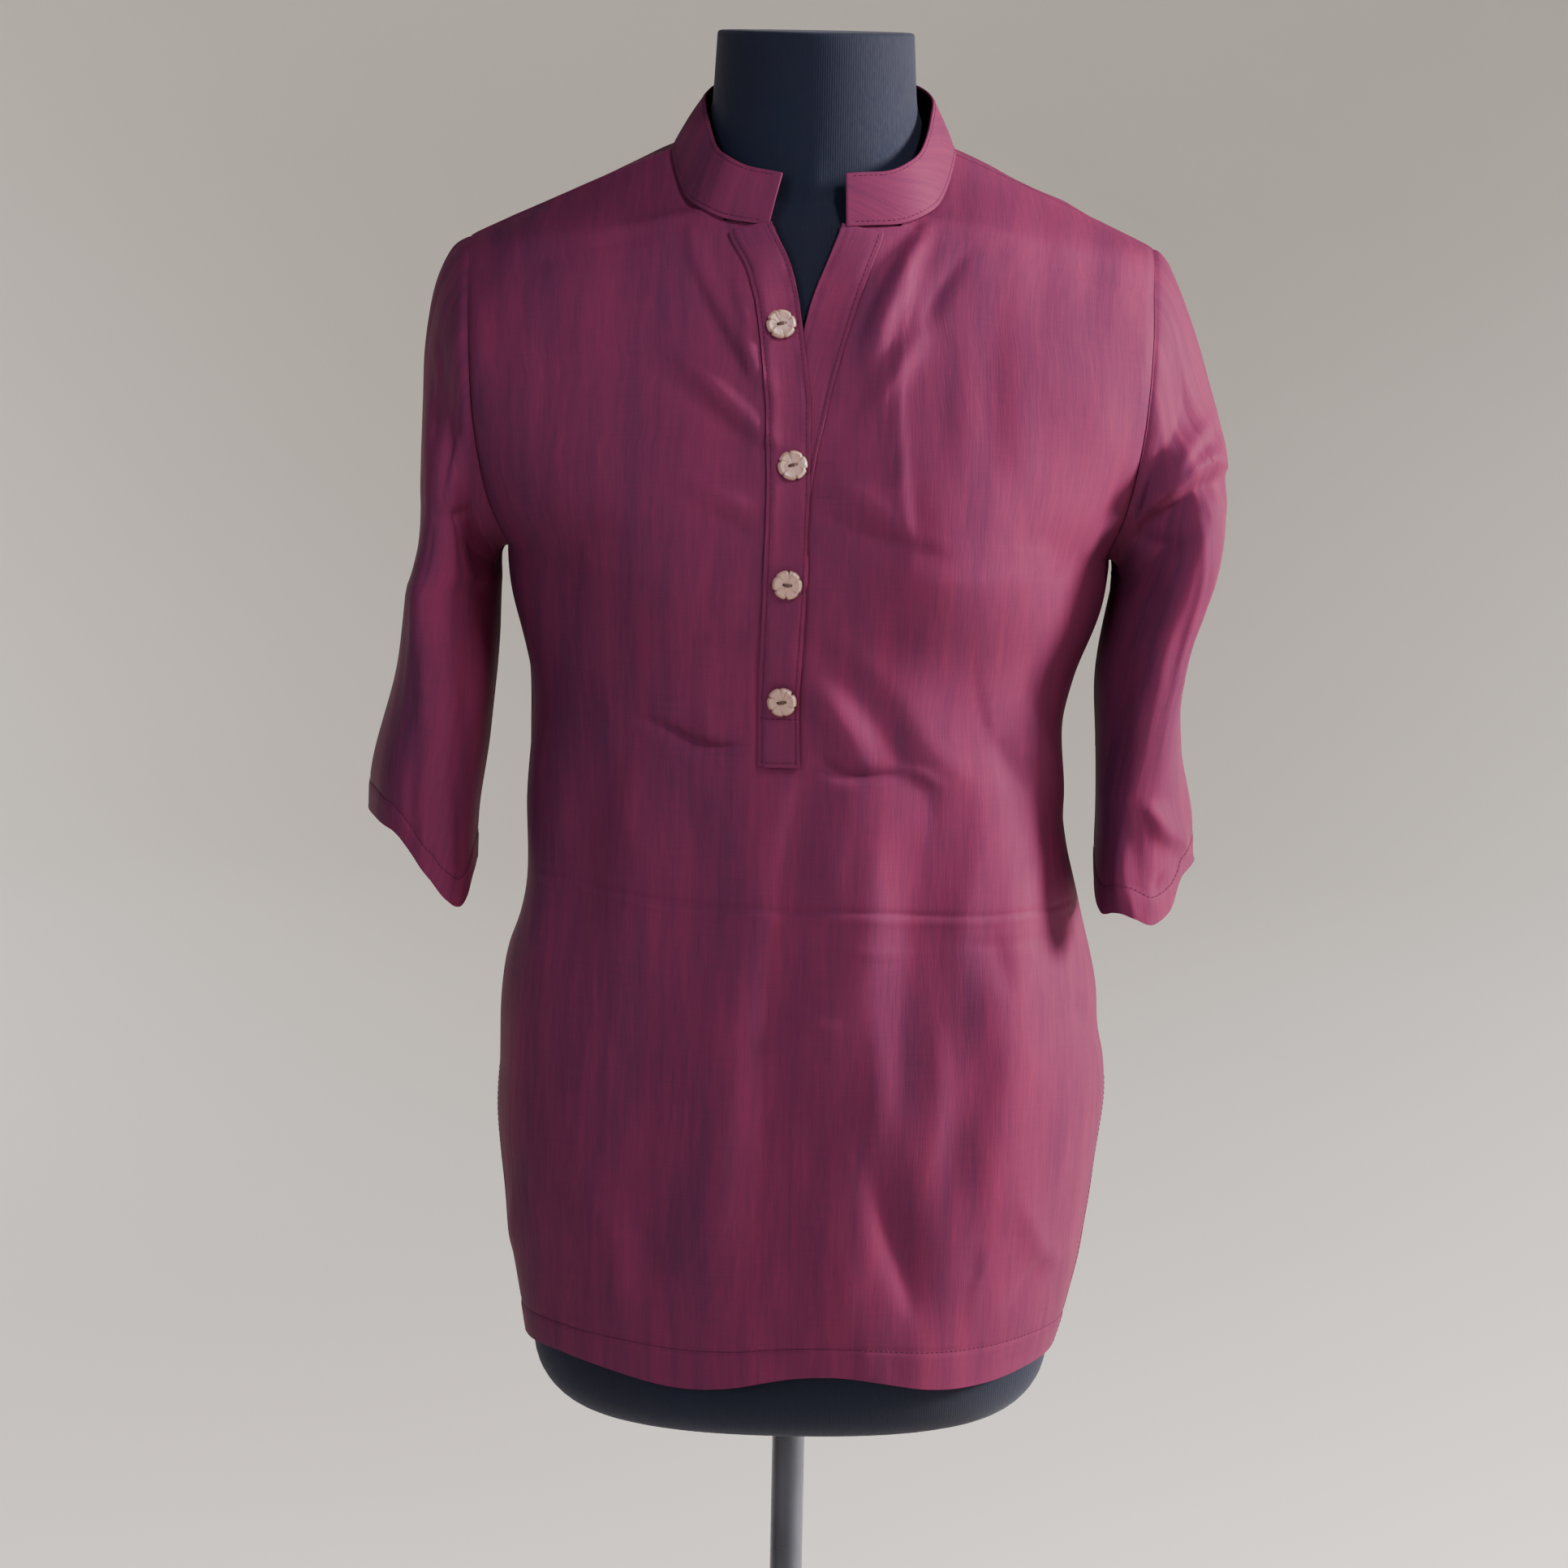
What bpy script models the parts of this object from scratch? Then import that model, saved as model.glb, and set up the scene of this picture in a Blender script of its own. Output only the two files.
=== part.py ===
"""A short cotton top with a stand collar and a buttoned half placket, on a limbless dress form.

Metres. Z is up, the front faces -Y and +X is to the right as one looks at the front. The floor
is Z = 0 and the stand's pole is on the Z axis. The cloth is worked out from the form: each
point of a panel is a point of the form's skin, moved out by the air between the two.
"""
import math
from collections import namedtuple

import bmesh
import bpy
from mathutils import Vector

NAME = "cotton_top_on_dress_form"

# Thicknesses and gaps
CLOTH = 0.0012
PLACKET = 0.0010
BAND = 0.0016
GAP = 0.0003
LEAST_AIR = 0.0004

# Stand and form
BASE_RADIUS = 0.175
BASE_THICK = 0.010
BASE_BEVEL_TOP = 0.003
BASE_BEVEL_UNDER = 0.001
POLE_RADIUS = 0.0095
FORM_BOTTOM = 0.702
NECK_TOP = 1.498
NECK_RADIUS = 0.0588
NECK_TAPER = 0.0035
NECK_OVAL = 1.05
NECK_Y = -0.001

# Collar
COLLAR_HEIGHT = 0.029
COLLAR_LEAN_SIDE = 0.195
COLLAR_LEAN_FORE = 0.100
COLLAR_SHIFT = 0.0025
COLLAR_AIR = 0.0009
COLLAR_INSET = 0.014

# Buttons
BUTTON_RADIUS = 0.00825
BUTTON_THICK = 0.0024
BUTTON_NOTCHES = 6
NOTCH_DEPTH = 0.0008
HOLE_RADIUS = 0.0008
HOLE_SPACING = 0.0040

FRONT, BACK = -1, 1
LEFT, RIGHT = -1, 1
SEAM_Y = 0.004

# A level below the arms. side, front and back are the form's half width and its depths from the
# pole's axis. The last four are the air between the form and the cloth: at the left and right
# side seams, at the centre front and at the centre back.
Level = namedtuple("Level", "z side front back air_left air_right air_front air_back")
LEVELS = (
    Level(0.745, 0.1495, 0.100, 0.112, 0.0023, 0.0023, 0.0060, 0.0040),
    Level(0.800, 0.1565, 0.105, 0.122, 0.0043, 0.0103, 0.0070, 0.0040),
    Level(0.870, 0.1630, 0.109, 0.127, 0.0073, 0.0103, 0.0060, 0.0035),
    Level(0.910, 0.1615, 0.109, 0.124, 0.0063, 0.0123, 0.0050, 0.0040),
    Level(0.960, 0.1550, 0.107, 0.114, 0.0078, 0.0108, 0.0060, 0.0080),
    Level(1.010, 0.1450, 0.102, 0.102, 0.0066, 0.0090, 0.0090, 0.0130),
    Level(1.060, 0.1360, 0.098, 0.093, 0.0170, 0.0080, 0.0120, 0.0160),
    Level(1.100, 0.1350, 0.099, 0.090, 0.0186, 0.0085, 0.0110, 0.0150),
    Level(1.140, 0.1420, 0.106, 0.091, 0.0138, 0.0108, 0.0060, 0.0100),
    Level(1.180, 0.1550, 0.116, 0.094, 0.0103, 0.0118, 0.0025, 0.0060),
    Level(1.205, 0.1600, 0.119, 0.097, 0.0082, 0.0105, 0.0020, 0.0040),
)

# A row runs from the centre line or the neck (in) to the side seam or the armhole (out). turn
# is the angle that the row's arc turns through, 90 degrees on a quarter of an ellipse.
Row = namedtuple("Row", "in_x in_y in_z out_x out_y out_z turn air_in air_left air_right")
FRONT_YOKE = (
    Row(0.000, -0.1185, 1.226, 0.1605, -0.024, 1.2160, 79, 0.0018, 0.0095, 0.0120),
    Row(0.000, -0.1170, 1.250, 0.1680, -0.045, 1.2430, 71, 0.0016, 0.0130, 0.0135),
    Row(0.000, -0.1050, 1.305, 0.1780, -0.052, 1.2850, 63, 0.0012, 0.0125, 0.0130),
    Row(0.000, -0.0880, 1.355, 0.1860, -0.045, 1.3240, 55, 0.0009, 0.0070, 0.0080),
    Row(0.000, -0.0680, 1.403, 0.1900, -0.028, 1.3540, 45, 0.0014, 0.0030, 0.0030),
    Row(0.052, -0.0480, 1.404, 0.1915, -0.010, 1.3710, 36, 0.0013, 0.0014, 0.0014),
    Row(0.070, 0.0060, 1.433, 0.1920, 0.010, 1.3785, 28, 0.0006, 0.0006, 0.0006),
)
BACK_YOKE = (
    Row(0.000, 0.1005, 1.226, 0.1600, 0.024, 1.2160, 81, 0.0030, 0.0095, 0.0120),
    Row(0.000, 0.1040, 1.250, 0.1670, 0.051, 1.2430, 68, 0.0020, 0.0130, 0.0135),
    Row(0.000, 0.1070, 1.312, 0.1760, 0.064, 1.2850, 59, 0.0014, 0.0115, 0.0120),
    Row(0.000, 0.0990, 1.375, 0.1835, 0.060, 1.3240, 51, 0.0024, 0.0060, 0.0070),
    Row(0.000, 0.0700, 1.444, 0.1890, 0.044, 1.3540, 42, 0.0022, 0.0030, 0.0030),
    Row(0.048, 0.0540, 1.443, 0.1915, 0.026, 1.3710, 34, 0.0014, 0.0014, 0.0014),
    Row(0.070, 0.0060, 1.433, 0.1920, 0.010, 1.3785, 28, 0.0006, 0.0006, 0.0006),
)
UNDERARM = len(LEVELS) - 1
TOP = UNDERARM + len(FRONT_YOKE)
NECK_ROW = TOP - 2

# A round swelling of the form, on both sides of its centre
Mound = namedtuple("Mound", "face x z wide tall rise")
MOUNDS = (
    Mound(FRONT, 0.078, 1.212, 0.050, 0.052, 0.0110),
    Mound(BACK, 0.075, 1.300, 0.060, 0.070, 0.0050),
    Mound(BACK, 0.070, 0.875, 0.060, 0.060, 0.0060),
)

# A fold of the panel from (x1, z1) to (x2, z2): half its width, and how far it stands out or in
Fold = namedtuple("Fold", "face x1 z1 x2 z2 wide rise")
FOLDS = (
    Fold(FRONT, -0.115, 1.100, -0.148, 0.880, 0.018, 0.0050),
    Fold(FRONT, -0.088, 1.120, -0.112, 0.960, 0.016, -0.0040),
    Fold(FRONT, 0.000, 1.090, -0.034, 0.800, 0.016, 0.0055),
    Fold(FRONT, 0.014, 1.080, -0.016, 0.800, 0.014, -0.0050),
    Fold(FRONT, 0.008, 1.150, 0.042, 1.105, 0.013, 0.0045),
    Fold(FRONT, 0.018, 1.165, 0.078, 1.040, 0.014, -0.0050),
    Fold(FRONT, 0.118, 1.140, 0.138, 1.050, 0.014, 0.0045),
    Fold(FRONT, 0.052, 0.880, 0.078, 0.780, 0.014, -0.0045),
    Fold(FRONT, -0.098, 0.850, -0.084, 0.780, 0.014, 0.0050),
    Fold(BACK, -0.050, 1.180, -0.060, 0.900, 0.020, 0.0060),
    Fold(BACK, 0.045, 1.170, 0.062, 0.880, 0.020, 0.0050),
    Fold(BACK, -0.004, 1.120, 0.004, 0.850, 0.018, -0.0060),
    Fold(BACK, 0.105, 1.150, 0.118, 0.980, 0.016, 0.0050),
    Fold(BACK, -0.108, 1.150, -0.120, 0.960, 0.016, 0.0045),
)

# Soft waves of the front hem and the back hem: height, length and shift, and the rows they reach
Wave = namedtuple("Wave", "height length shift")
HEM_WAVES = {FRONT: Wave(0.0050, 0.155, -0.020), BACK: Wave(0.0040, 0.170, 0.030)}
HEM_FADE = 1.2

# The side slits: the row at their top, and how far each panel draws back, as a share of its row
SLIT_TOP = 2.7
SLIT_RECESS = {FRONT: 0.060, BACK: 0.012}
SIDE_SEAM_GAP = 0.0010
SHOULDER_SEAM_GAP = 0.004

# The front opening: its left and right edges at each height. It is a slit under the upper strip
# and a small V above the first button.
Opening = namedtuple("Opening", "z left right")
OPENING = (
    Opening(1.1000, -0.0030, -0.0030),
    Opening(1.1200, -0.0040, -0.0020),
    Opening(1.3390, -0.0050, -0.0034),
    Opening(1.3565, -0.0072, 0.0012),
    Opening(1.3750, -0.0119, 0.0083),
    Opening(1.3940, -0.0210, 0.0152),
)

# The neckline's distance from the centre plane, by row, from its front or back corner up
NECKLINE = {
    FRONT: ((14.76, None), (15.0, 0.0480), (15.5, 0.0590), (16.0, 0.0665), (16.5, 0.0735),
            (17.0, 0.0775)),
    BACK: ((14.90, 0.0), (15.0, 0.0190), (15.5, 0.0430), (16.0, 0.0600), (16.5, 0.0720),
           (17.0, 0.0775)),
}

# The strips of the placket: left and right edge at each height
Strip = namedtuple("Strip", "z left right")
OVER_STRIP = (
    Strip(1.0985, -0.0240, -0.0015),
    Strip(1.1400, -0.0245, -0.0025),
    Strip(1.1950, -0.0235, 0.0000),
    Strip(1.2540, -0.0225, 0.0012),
    Strip(1.3000, -0.0238, 0.0006),
    Strip(1.3390, -0.0280, -0.0045),
    Strip(1.3565, -0.0305, -0.0072),
    Strip(1.3750, -0.0350, -0.0119),
    Strip(1.3920, -0.0435, -0.0200),
)
UNDER_STRIP = (
    Strip(1.1030, -0.0170, -0.0035),
    Strip(1.2300, -0.0170, -0.0010),
    Strip(1.2700, -0.0150, 0.0045),
    Strip(1.3100, -0.0090, 0.0130),
    Strip(1.3390, -0.0034, 0.0210),
    Strip(1.3565, 0.0012, 0.0260),
    Strip(1.3750, 0.0083, 0.0320),
    Strip(1.3920, 0.0145, 0.0375),
)
BUTTONS = ((-0.0160, 1.3400), (-0.0085, 1.2640), (-0.0105, 1.2010), (-0.0115, 1.1370))

# A sleeve ring: its height, its centre, and half its width and depth
Ring = namedtuple("Ring", "z x y wide deep")
SLEEVE_RINGS = {
    LEFT: (
        Ring(1.185, 0.1980, 0.004, 0.0238, 0.0640),
        Ring(1.140, 0.2030, 0.002, 0.0260, 0.0630),
        Ring(1.100, 0.2090, 0.001, 0.0280, 0.0610),
        Ring(1.060, 0.2140, 0.000, 0.0300, 0.0590),
        Ring(1.028, 0.2150, 0.000, 0.0300, 0.0580),
    ),
    RIGHT: (
        Ring(1.185, 0.1990, 0.004, 0.0233, 0.0640),
        Ring(1.140, 0.1910, 0.002, 0.0225, 0.0640),
        Ring(1.100, 0.1930, 0.001, 0.0240, 0.0620),
        Ring(1.060, 0.1965, 0.000, 0.0255, 0.0600),
        Ring(1.028, 0.1945, 0.000, 0.0235, 0.0600),
    ),
}
SLEEVE_SQUARE = 0.86
CAP_ROWS = 5
ARM_ROWS = 6
CUFF_LIFT_OUTER = 0.010
CUFF_DROP_FRONT = 0.016
CAP_REACH_TOP = {LEFT: 0.108, RIGHT: 0.036}
CAP_REACH_UNDER = 0.028
CAP_FALL_TOP = 0.190
CAP_FALL_UNDER = 0.020
CAP_SWELL = {LEFT: (-0.0060, 4.0), RIGHT: (0.0170, 1.7)}
SEAM_ROLL = 0.0020

# Grid of the panels and of the form
PANEL_COLUMNS = 8
LOWER_ROWS = 15
UPPER_ROWS = 9
NECK_ROWS = 6
FORM_COLUMNS = 8

COLOURS = {
    "cotton": ((0.115, 0.030, 0.060, 1.0), 0.75, 0.0),
    "button": ((0.620, 0.400, 0.320, 1.0), 0.45, 0.0),
    "jersey": ((0.016, 0.018, 0.030, 1.0), 0.90, 0.0),
    "steel": ((0.130, 0.130, 0.145, 1.0), 0.35, 0.9),
}


def clear_scene():
    for item in list(bpy.data.objects):
        bpy.data.objects.remove(item, do_unlink=True)


def material(name):
    colour, roughness, metallic = COLOURS[name]
    made = bpy.data.materials.new(name)
    made.use_nodes = True
    shader = made.node_tree.nodes["Principled BSDF"]
    shader.inputs["Base Color"].default_value = colour
    shader.inputs["Roughness"].default_value = roughness
    shader.inputs["Metallic"].default_value = metallic
    made.diffuse_color = colour
    return made


def blend(table, place):
    """Values of a table at a place counted in rows, on a smooth curve through the rows."""
    last = len(table) - 1
    start = min(max(int(math.floor(place)), 0), last - 1)
    t = place - start
    before, here = table[max(start - 1, 0)], table[start]
    there, after = table[start + 1], table[min(start + 2, last)]
    values = []
    for a, b, c, d in zip(before, here, there, after):
        slope_b, slope_c = (c - a) / 2, (d - b) / 2
        rise = c - b
        values.append(b + slope_b * t + (3 * rise - 2 * slope_b - slope_c) * t ** 2
                      + (slope_b + slope_c - 2 * rise) * t ** 3)
    return values


def straight(table, key):
    """Values of a table at a key, on straight lines between rows sorted by their first column."""
    key = min(max(key, table[0][0]), table[-1][0])
    for low, high in zip(table, table[1:]):
        if key <= high[0]:
            share = (key - low[0]) / (high[0] - low[0])
            return [a + (b - a) * share for a, b in zip(low, high)]
    return list(table[-1])


def rows_of(face):
    """All rows of one face, from the hem to the shoulder seam."""
    rows = []
    for level in LEVELS:
        depth, air = (level.front, level.air_front) if face == FRONT else (level.back, level.air_back)
        rows.append(Row(0.0, face * depth, level.z, level.side, SEAM_Y, level.z, 90, air,
                        level.air_left, level.air_right))
    rows.extend(FRONT_YOKE if face == FRONT else BACK_YOKE)
    return rows


ROWS = {FRONT: rows_of(FRONT), BACK: rows_of(BACK)}


def row_at(face, v):
    row = Row(*blend(ROWS[face], v))
    if v <= UNDERARM:
        row = row._replace(out_y=SEAM_Y, turn=90)
    elif v < UNDERARM + 1:
        t = v - UNDERARM
        eased = Row(*blend(ROWS[face], UNDERARM + t * t * (2 - t)))
        row = row._replace(out_y=eased.out_y, turn=eased.turn)
    return row._replace(in_x=max(row.in_x, 0.0) if v > NECK_ROW else 0.0)


def skin(face, side, u, v):
    """Point of the form: u runs from the centre or neck (0) to the side or armhole (1)."""
    if v > TOP:
        face, v = -face, 2 * TOP - v
    row = row_at(face, v)
    turn = math.radians(row.turn)
    across = math.sin(u * turn) / math.sin(turn)
    along = (1 - math.cos(u * turn)) / (1 - math.cos(turn))
    x = row.in_x + (row.out_x - row.in_x) * across
    y = row.in_y + (row.out_y - row.in_y) * along
    z = row.in_z + (row.out_z - row.in_z) * u
    for mound in MOUNDS:
        if mound.face == face:
            reach = ((x - mound.x) / mound.wide) ** 2 + ((z - mound.z) / mound.tall) ** 2
            y += face * mound.rise * math.exp(-reach)
    return Vector((side * x, y, z))


def outward(face, side, u, v):
    """Unit vector out of the form's skin."""
    step = 0.03
    across = skin(face, side, u + step, v) - skin(face, side, u - step, v)
    up = skin(face, side, u, v + step) - skin(face, side, u, v - step)
    return (across.cross(up) * (-face * side)).normalized()


def fold_rise(face, x, z):
    """How far the folds move the cloth at a place of the panel."""
    total = 0.0
    for fold in FOLDS:
        if fold.face != face:
            continue
        run = Vector((fold.x2 - fold.x1, fold.z2 - fold.z1))
        place = Vector((x - fold.x1, z - fold.z1))
        share = min(max(place.dot(run) / run.dot(run), 0.0), 1.0)
        away = (place - run * share).length / fold.wide
        fade = math.sin(math.pi * (0.08 + 0.84 * share))
        total += fold.rise * fade * math.exp(-away * away)
    return total


def hem_wave(face, x):
    wave = HEM_WAVES[face]
    return wave.height * math.sin(2 * math.pi * (x - wave.shift) / wave.length)


def cloth(face, side, u, v, lift=0.0):
    """Point of the cloth's inner face, or above it by lift."""
    row = row_at(face, min(v, TOP))
    point = skin(face, side, u, v)
    turn = math.radians(row.turn)
    share = (math.sin(min(max(u, 0.0), 1.0) * turn) / math.sin(turn)) ** 2
    air_side = row.air_left if side == LEFT else row.air_right
    air = row.air_in + (air_side - row.air_in) * share
    air = max(air + fold_rise(face, point.x, point.z), LEAST_AIR)
    point += outward(face, side, u, v) * (air + lift)
    if v < HEM_FADE:
        point.z += hem_wave(face, point.x) * (1 - v / HEM_FADE) ** 2
    return point


def side_and_place(face, x, v):
    """Side and u of the cloth at a signed distance x from the centre plane, in row v."""
    side = RIGHT if x >= 0 else LEFT
    low, high = 0.0, 1.0
    for _ in range(18):
        middle = (low + high) / 2
        if cloth(face, side, middle, v).x * side < abs(x):
            low = middle
        else:
            high = middle
    return side, (low + high) / 2


def on_panel(face, x, v, lift):
    """Point at x in row v, lifted off the panel's inner face."""
    side, u = side_and_place(face, x, v)
    return cloth(face, side, u, v, lift)


def new_object(name, points, faces, stuff, collection):
    mesh = bpy.data.meshes.new(name)
    mesh.from_pydata([tuple(p) for p in points], [], faces)
    mesh.update()
    mesh.materials.append(stuff)
    made = bpy.data.objects.new(name, mesh)
    collection.objects.link(made)
    return made


def grid_faces(rows, columns, first=0, flip=False, ring=False):
    """Quads of a grid whose points are listed row by row."""
    faces = []
    for i in range(rows - 1):
        for j in range(columns if ring else columns - 1):
            k = (j + 1) % columns
            quad = (first + i * columns + j, first + i * columns + k,
                    first + (i + 1) * columns + k, first + (i + 1) * columns + j)
            faces.append(quad[::-1] if flip else quad)
    return faces


def sheet(name, grids, thickness, stuff, collection):
    """One sheet of cloth from grids of points, joined where they meet, thickened outwards."""
    points, faces = [], []
    for grid, flip, ring in grids:
        faces += grid_faces(len(grid), len(grid[0]), len(points), flip, ring)
        for row in grid:
            points += row
    made = new_object(name, points, faces, stuff, collection)
    work = bmesh.new()
    work.from_mesh(made.data)
    bmesh.ops.remove_doubles(work, verts=work.verts, dist=0.00005)
    work.to_mesh(made.data)
    work.free()
    wall = made.modifiers.new("wall", "SOLIDIFY")
    wall.thickness = thickness
    wall.offset = 1.0
    made.data.shade_smooth()
    return made


def spaced(low, high, count, crowd=1.0):
    """Values from low to high; crowd above 1 sets them closer together near low."""
    return [low + (high - low) * (i / count) ** crowd for i in range(count + 1)]


def panel_rows(face):
    """Rows of a panel's grid, one of them at the corner of the neckline."""
    corner = NECKLINE[face][0][0]
    seam = TOP - SHOULDER_SEAM_GAP
    return spaced(0.0, UNDERARM, LOWER_ROWS) + spaced(UNDERARM, corner, UPPER_ROWS)[1:] + \
        spaced(corner, seam, NECK_ROWS, 1.4)[1:]


def edge_x(face, side, v):
    """Where a panel half starts: at the centre line, the opening or the neckline."""
    corner = NECKLINE[face][0][0]
    if face == FRONT:
        opening = Opening(*straight(OPENING, row_at(face, v).in_z))
        edge = opening.left if side == LEFT else opening.right
    else:
        edge = 0.0
    if v <= corner + 1e-6:
        return edge
    corner_x = abs(edge_x(face, side, corner))
    table = [(row, corner_x if x is None else x) for row, x in NECKLINE[face]]
    return side * straight(table, v)[1]


def outer_edge(face, v):
    """Where a panel ends: at the side seam or the armhole, and short of it beside a side slit."""
    if v > UNDERARM:
        return 1.0
    open_share = min(1.0, 2.2 * max(0.0, 1 - v / SLIT_TOP))
    return 1.0 - SIDE_SEAM_GAP - SLIT_RECESS[face] * open_share ** 1.5


def panel_half(face, side):
    grid = []
    for v in panel_rows(face):
        start_side, start = side_and_place(face, edge_x(face, side, v), v)
        start *= start_side * side
        row = []
        for t in spaced(0.0, 1.0, PANEL_COLUMNS):
            u = start + (outer_edge(face, v) - start) * t
            row.append(cloth(face, side if u >= 0 else -side, abs(u), v))
        grid.append(row)
    return grid


def make_panel(name, face, stuff, collection):
    grids = [(panel_half(face, side), face * side > 0, False) for side in (LEFT, RIGHT)]
    return sheet(name, grids, CLOTH, stuff, collection)


def rows_between(low, high):
    """Rows of the front panel's grid between two heights of the centre line, with the ends."""
    inside = [v for v in panel_rows(FRONT) if low < row_at(FRONT, v).in_z < high]
    return [row_of_height(low)] + inside + [row_of_height(high)]


def row_of_height(z):
    low, high = float(UNDERARM) - 6, float(NECK_ROW)
    for _ in range(30):
        middle = (low + high) / 2
        if row_at(FRONT, middle).in_z < z:
            low = middle
        else:
            high = middle
    return (low + high) / 2


def strip_grid(table, lifts):
    """Grid of a strip on the front panel; lifts has one gap to the panel for each column."""
    grid = []
    for v in rows_between(table[0].z, table[-1].z):
        edges = Strip(*straight(table, row_at(FRONT, v).in_z))
        row = []
        for share, lift in lifts:
            x = edges.left + (edges.right - edges.left) * share
            row.append(on_panel(FRONT, x, v, CLOTH + lift))
        grid.append(row)
    return grid


STRIP_AIR = 0.0006
OVER_LIFT = STRIP_AIR + PLACKET + 0.0004
UNDER_LIFTS = tuple((share, STRIP_AIR) for share in (0.0, 0.35, 0.7, 1.0))
OVER_LIFTS = ((0.0, STRIP_AIR),) + tuple((share, OVER_LIFT) for share in (0.2, 0.5, 0.8, 1.0))


def make_strip(name, table, lifts, stuff, collection):
    return sheet(name, [(strip_grid(table, lifts), False, False)], PLACKET, stuff, collection)


def neckline_points():
    """Places (face, side, u, v) along the neckline, from the front's left corner round the back."""
    places = []
    for face, side, upward in ((FRONT, LEFT, True), (BACK, LEFT, False),
                               (BACK, RIGHT, True), (FRONT, RIGHT, False)):
        corner = NECKLINE[face][0][0]
        part = []
        for v in [row for row in panel_rows(face)[:-1] if row >= corner] + [TOP]:
            found, u = side_and_place(face, edge_x(face, side, v), v)
            part.append((face, side, u if found == side else 0.0, v))
        if not upward:
            part.reverse()
        places += part if not places else part[1:]
    return places


def make_collar(stuff, collection):
    """A band that stands on the neckline and leans in towards the neck."""
    foot, head = [], []
    for face, side, u, v in neckline_points():
        inset = 0.0 if face == BACK and u < COLLAR_INSET / 2 else COLLAR_INSET
        point = cloth(face, side, u + inset, v, CLOTH + COLLAR_AIR)
        foot.append(point)
        head.append(Vector((point.x * (1 - COLLAR_LEAN_SIDE) + COLLAR_SHIFT,
                            point.y * (1 - COLLAR_LEAN_FORE), point.z + COLLAR_HEIGHT)))
    grid = [[a.lerp(b, share) for a, b in zip(foot, head)] for share in spaced(0.0, 1.0, 3)]
    return sheet("collar", [(grid, True, False)], BAND, stuff, collection)


def armhole(side):
    """Points round the armhole from the shoulder down the front and up the back, with the
    direction in which the sleeve leaves each."""
    front = [v for v in panel_rows(FRONT)[:-1] if v >= UNDERARM]
    back = [v for v in panel_rows(BACK)[:-1] if v > UNDERARM]
    places = [(FRONT, v) for v in [TOP] + front[::-1]] + [(BACK, v) for v in back]
    edge = [cloth(face, side, 1.0, v) for face, v in places]
    loop = []
    for i, (face, v) in enumerate(places):
        along = edge[(i + 1) % len(edge)] - edge[i - 1]
        away = along.cross(outward(face, side, 1.0, v)) * -side
        loop.append((edge[i], away.normalized()))
    return loop


def ring_point(ring, side, angle):
    """Point of a sleeve ring: angle 0 is the outer side, 90 degrees the front."""
    c, s = math.cos(angle), math.sin(angle)
    wide = math.copysign(abs(c) ** SLEEVE_SQUARE, c)
    deep = math.copysign(abs(s) ** SLEEVE_SQUARE, s)
    return Vector((side * (ring.x + ring.wide * wide), ring.y - ring.deep * deep, ring.z))


def sleeve_grid(side):
    rings = SLEEVE_RINGS[side]
    swell, late = CAP_SWELL[side]
    columns = []
    loop = armhole(side)
    for j, (start, away) in enumerate(loop):
        angle = 2 * math.pi * j / len(loop)
        outer = (1 + math.cos(angle)) / 2
        seam = start + away * (GAP + (CLOTH + GAP) * (1 - outer) ** 2)
        first = seam + away * (LEAST_AIR + SEAM_ROLL * outer)
        last = ring_point(rings[0], side, angle)
        leave = away.lerp(Vector((side, 0, 0)), 0.80 * (1 - outer))
        leave *= CAP_REACH_UNDER + (CAP_REACH_TOP[side] - CAP_REACH_UNDER) * outer
        arrive = Vector((0, 0, -(CAP_FALL_UNDER + (CAP_FALL_TOP - CAP_FALL_UNDER) * outer)))
        column = [seam]
        for t in spaced(0.0, 1.0, CAP_ROWS):
            point = first * (2 * t ** 3 - 3 * t ** 2 + 1) + leave * (t ** 3 - 2 * t ** 2 + t)
            point += last * (3 * t ** 2 - 2 * t ** 3) + arrive * (t ** 3 - t ** 2)
            point.x += side * swell * outer * math.sin(math.pi * t ** late)
            column.append(point)
        for place in spaced(0.0, len(rings) - 1.0, ARM_ROWS)[1:]:
            point = ring_point(Ring(*blend(rings, place)), side, angle)
            cuff = CUFF_LIFT_OUTER * math.cos(angle) - CUFF_DROP_FRONT * math.sin(angle)
            point.z += cuff * (place / (len(rings) - 1)) ** 2
            column.append(point)
        columns.append(column)
    return [list(row) for row in zip(*columns)]


def make_sleeve(name, side, stuff, collection):
    return sheet(name, [(sleeve_grid(side), side == LEFT, True)], CLOTH, stuff, collection)


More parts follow.
